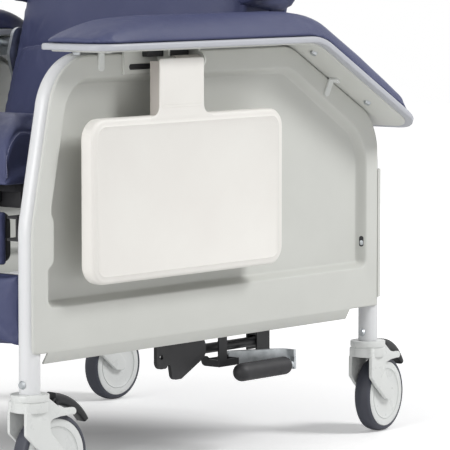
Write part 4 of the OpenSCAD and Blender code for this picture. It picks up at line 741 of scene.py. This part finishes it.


# Mechanism: black painted plates, bars and a gas spring under the seat, a black lining tacked
# under the boards, whose black is also painted shade for the gap under the seat, and a round
# rubber grip on the lever of the recline pedal.
black_steel = moulding("black_steel", shade(34, 34, 37), shade(26, 26, 29), 0.4, 240, 0.00008)
dress(black_steel, "mechanism_beam", "gas_spring_cylinder", "pedal_bracket", "seat_frame", "drive_plates",
      "legrest_frame", "seat_rails")
black_lining = Finish("black_lining", sheen_weight=0.25)
fibres = black_lining.noise(900, 5)
black_lining.set("Base Color", black_lining.blend(fibres, shade(24, 24, 27), shade(44, 44, 48)))
black_lining.set("Roughness", black_lining.span(fibres, 0.3, 0.7, 0.85, 0.95))
black_lining.set("Normal", black_lining.bump(fibres, 0.0003))
dress(black_lining, "seat_board", "legrest_board")


def lathed(shape, profile, axis, centre=(0, 0, 0), steps=64):
    """Spins a closed or open chain of (along, radius) points about a main axis through centre."""
    ring = Vector((0, 0, 0))
    ring["xyz".index(axis) - 1] = 1
    line = Vector([1.0 if letter == axis else 0.0 for letter in "xyz"])
    points = [shape.verts.new((Vector(centre) + line * along + ring * radius) / 1000)
              for along, radius in profile]
    edges = [shape.edges.new(pair) for pair in zip(points, points[1:])]
    if profile[0] != profile[-1] and profile[0][1] > 0:
        edges.append(shape.edges.new((points[-1], points[0])))
    bmesh.ops.spin(shape, geom=points + edges, cent=Vector(centre) / 1000, axis=line, angle=math.tau,
                   steps=steps, use_merge=True, use_duplicate=False)


grip = bmesh.new()
dome = [(14.5 - 14.5 * math.cos(a), 14.5 * math.sin(a)) for a in (math.pi / 2 * k / 7 for k in range(8))]
ribs = [(along, 14.5 - (0.35 if k % 2 else 0)) for k, along in
        enumerate(20 + 3.5 * j for j in range(28))]
lathed(grip, [(65 + a, r) for a, r in dome] + [(65 + along, r) for along, r in ribs]
       + [(200 - a, r) for a, r in dome[::-1]], "y", (300, -35.75, 136.5), 40)
built("pedal_grip_sleeve", grip, grip_rubber, "pedal", "pedal_grip", crease=50)


# Panel locks: a dark plate on the rear wall of each panel's recess, with a metal core; the plate's black
# is painted shade that stands in for the shadowed inside of the oval keyhole opening.
# The wall slants, so the plate is drawn along it and raised square to it.
LOCK_X, LOCK_Y, ALONG, ACROSS = 310.7, 379.1, 0.86, 0.51
on_wall = lambda u, v, h: at(LOCK_X + ALONG * u + ACROSS * h, LOCK_Y + ACROSS * u - ALONG * h, v)
plate, core = bmesh.new(), bmesh.new()
tiers(plate, [(-3.8, 315, 3.7), (3.8, 315, 3.7), (3.8, 332.5, 3.7), (-3.8, 332.5, 3.7)],
      [(0, -2), (0, 0.15), (0.4, 0.4)], on_wall, 8)
tiers(core, [(-2.7, 317.5, 2.6), (2.7, 317.5, 2.6), (2.7, 325.5, 2.6), (-2.7, 325.5, 2.6)],
      [(0, -1), (0, 0.6), (0.5, 0.95)], on_wall, 8)
both_sides("lock_keyhole_shade", plate, black_steel, ("frame", "frame"))
both_sides("lock_core", core, zinc, ("frame", "frame"))


# Casters: white glass-filled nylon. A two-tier collar under the leg carries a fork of two
# cheeks that taper to the axle, with a horn behind for the black curved brake pedal.
caster_plastic = moulding("caster_plastic", shade(223, 225, 223), shade(216, 218, 216), 0.3, 1000, 0.00005)
wheel_plastic = moulding("wheel_plastic", shade(222, 224, 222), shade(216, 218, 217), 0.3, 1000, 0.00004)
tyre_rubber = moulding("tyre_rubber", shade(66, 68, 78), shade(58, 60, 70), 0.55, 1400, 0.00008)
brake_plastic = moulding("brake_plastic", shade(30, 31, 34), shade(24, 25, 28), 0.36, 1100, 0.00006)
TRAIL, AXLE_Z, CHEEK_IN, CHEEK_OUT = 38, 62.5, 16.5, 22.5
BRAKE_Y, BRAKE_Z = 40.72, 140.45
local = lambda x, y, z: Vector((x, y, z)) / 1000

fork = bmesh.new()
lathed(fork, [(155.7, 8.3), (155.7, 27.8), (155.3, 28.7), (154.5, 29), (147, 29), (146.2, 28.7),
              (145.8, 27.9),
              (145.5, 27.2), (145.0, 27.0), (144.4, 27.4), (143.8, 28), (131, 28), (129.6, 27.5), (129, 26.4),
              (129, 8.3)], "z", steps=72)
crown = [(-22.3, -24.8, 4), (22.3, -24.8, 4), (22.3, 24, 4), (-22.3, 24, 4)]
tiers(fork, crown, [(1.2, 129), (0, 130.2)] + quarter(1.6, 145.4, 1, 3), local, 4)
cheek = [(-25, 131.7, 4), (-25, 97, 5), (-8, 81, 10), (26, 55, 9), (46, 52, 9), (52, 66, 9),
         (24, 96, 16), (19, 116, 8),
         (41, 120.5, 10), (60, 121, 3), (69, 120.5, 4.5), (72, 126, 4.5), (68, 131.8, 5), (52, 132, 12),
         (38, 135.5, 10), (20, 148.8, 2), (8, 148.8, 1), (8, 131.7, 1)]
for way in (-1, 1):
    tiers(fork, cheek, [(0.6, way * CHEEK_IN), (0, way * (CHEEK_IN + 0.6))] + [
        (by, way * height) for by, height in quarter(1.5, CHEEK_OUT, 1, 4)],
          lambda u, v, h: local(h, u, v), 5)

hub = bmesh.new()
disc = [(14, 6.3), (14, 13), (13.5, 13.8), (13.1, 15), (13.1, 38.5), (13.5, 39.8), (13.9, 40.4), (13.9, 40.9),
        (12.7, 41.2), (12.7, 42.3), (13.9, 42.6), (14, 43.2), (14, 52.2), (13.6, 53.2), (12.6, 53.8)]
lathed(hub, disc + [(-along, radius) for along, radius in disc[::-1]], "x", (0, TRAIL, AXLE_Z), 96)

tread = bmesh.new()
corner = [(14 - 6.5 * (1 - math.sin(a)), 61.2 - 6.5 * (1 - math.cos(a))) for a in
          (math.pi / 2 * (1 - k / 6) for k in range(7))]
side = [(13.6, 53.95), (14.2, 54.6)] + corner + [(4, 62.2)]
lathed(tread, side + [(-along, radius) for along, radius in side[::-1]], "x", (0, TRAIL, AXLE_Z), 96)

pedal = bmesh.new()
start = math.radians(36)
tip = [(73.5, -11, 3), (82.5, -11, 3), (82.5, 11, 3), (73.5, 11, 3)]
tip_face = rounded(pedal, tip, lambda u, v: local(v, TRAIL + u * math.cos(start),
                                                  AXLE_Z + u * math.sin(start)), 3)
rim = list(tip_face.edges)
arc = bmesh.ops.spin(pedal, geom=[tip_face] + rim + list(tip_face.verts), cent=local(0, TRAIL, AXLE_Z),
                     axis=(1, 0, 0), angle=math.radians(52), steps=16, use_duplicate=False)
# the pedal is a shoe that is deepest behind the collar and thins out towards its tip
for vert in pedal.verts:
    y, z = vert.co.y * 1000 - TRAIL, vert.co.z * 1000 - AXLE_Z
    reach, angle = math.hypot(y, z), math.atan2(z, y)
    reach = 73.5 + (reach - 73.5) * (1 + 1.05 * (angle - start) / math.radians(52))
    vert.co = local(vert.co.x * 1000, TRAIL + reach * math.cos(angle), AXLE_Z + reach * math.sin(angle))
lathed(pedal, [(-11, 2.7), (-11, 6.1), (-10.6, 6.5), (10.6, 6.5), (11, 6.1), (11, 2.7)], "x",
       (0, BRAKE_Y, BRAKE_Z), 28)

for corner_name, x, y, turned_by in (("front_left", 298, -415, 8), ("front_right", -298, -415, -4),
                                     ("rear_left", 298, 415, -7), ("rear_right", -298, 415, 1)):
    stand = Matrix.Translation(at(x, y, 0)) @ Matrix.Rotation(-math.radians(turned_by), 4, "Z")
    for part, shape, finish, joint, bend in (
            ("fork", fork, caster_plastic, "", 35), ("wheel", hub, wheel_plastic, "_roll", 25),
            ("tyre", tread, tyre_rubber, "_roll", 50), ("brake", pedal, brake_plastic, "_pedal", 35)):
        copy = shape.copy()
        bmesh.ops.transform(copy, matrix=stand, verts=copy.verts)
        built(f"caster_{corner_name}_{part}_moulding", copy, finish, f"caster_{corner_name}{joint}",
              f"caster_{corner_name}_{part}", crease=bend)
for shape in (fork, hub, tread, pedal):
    shape.free()
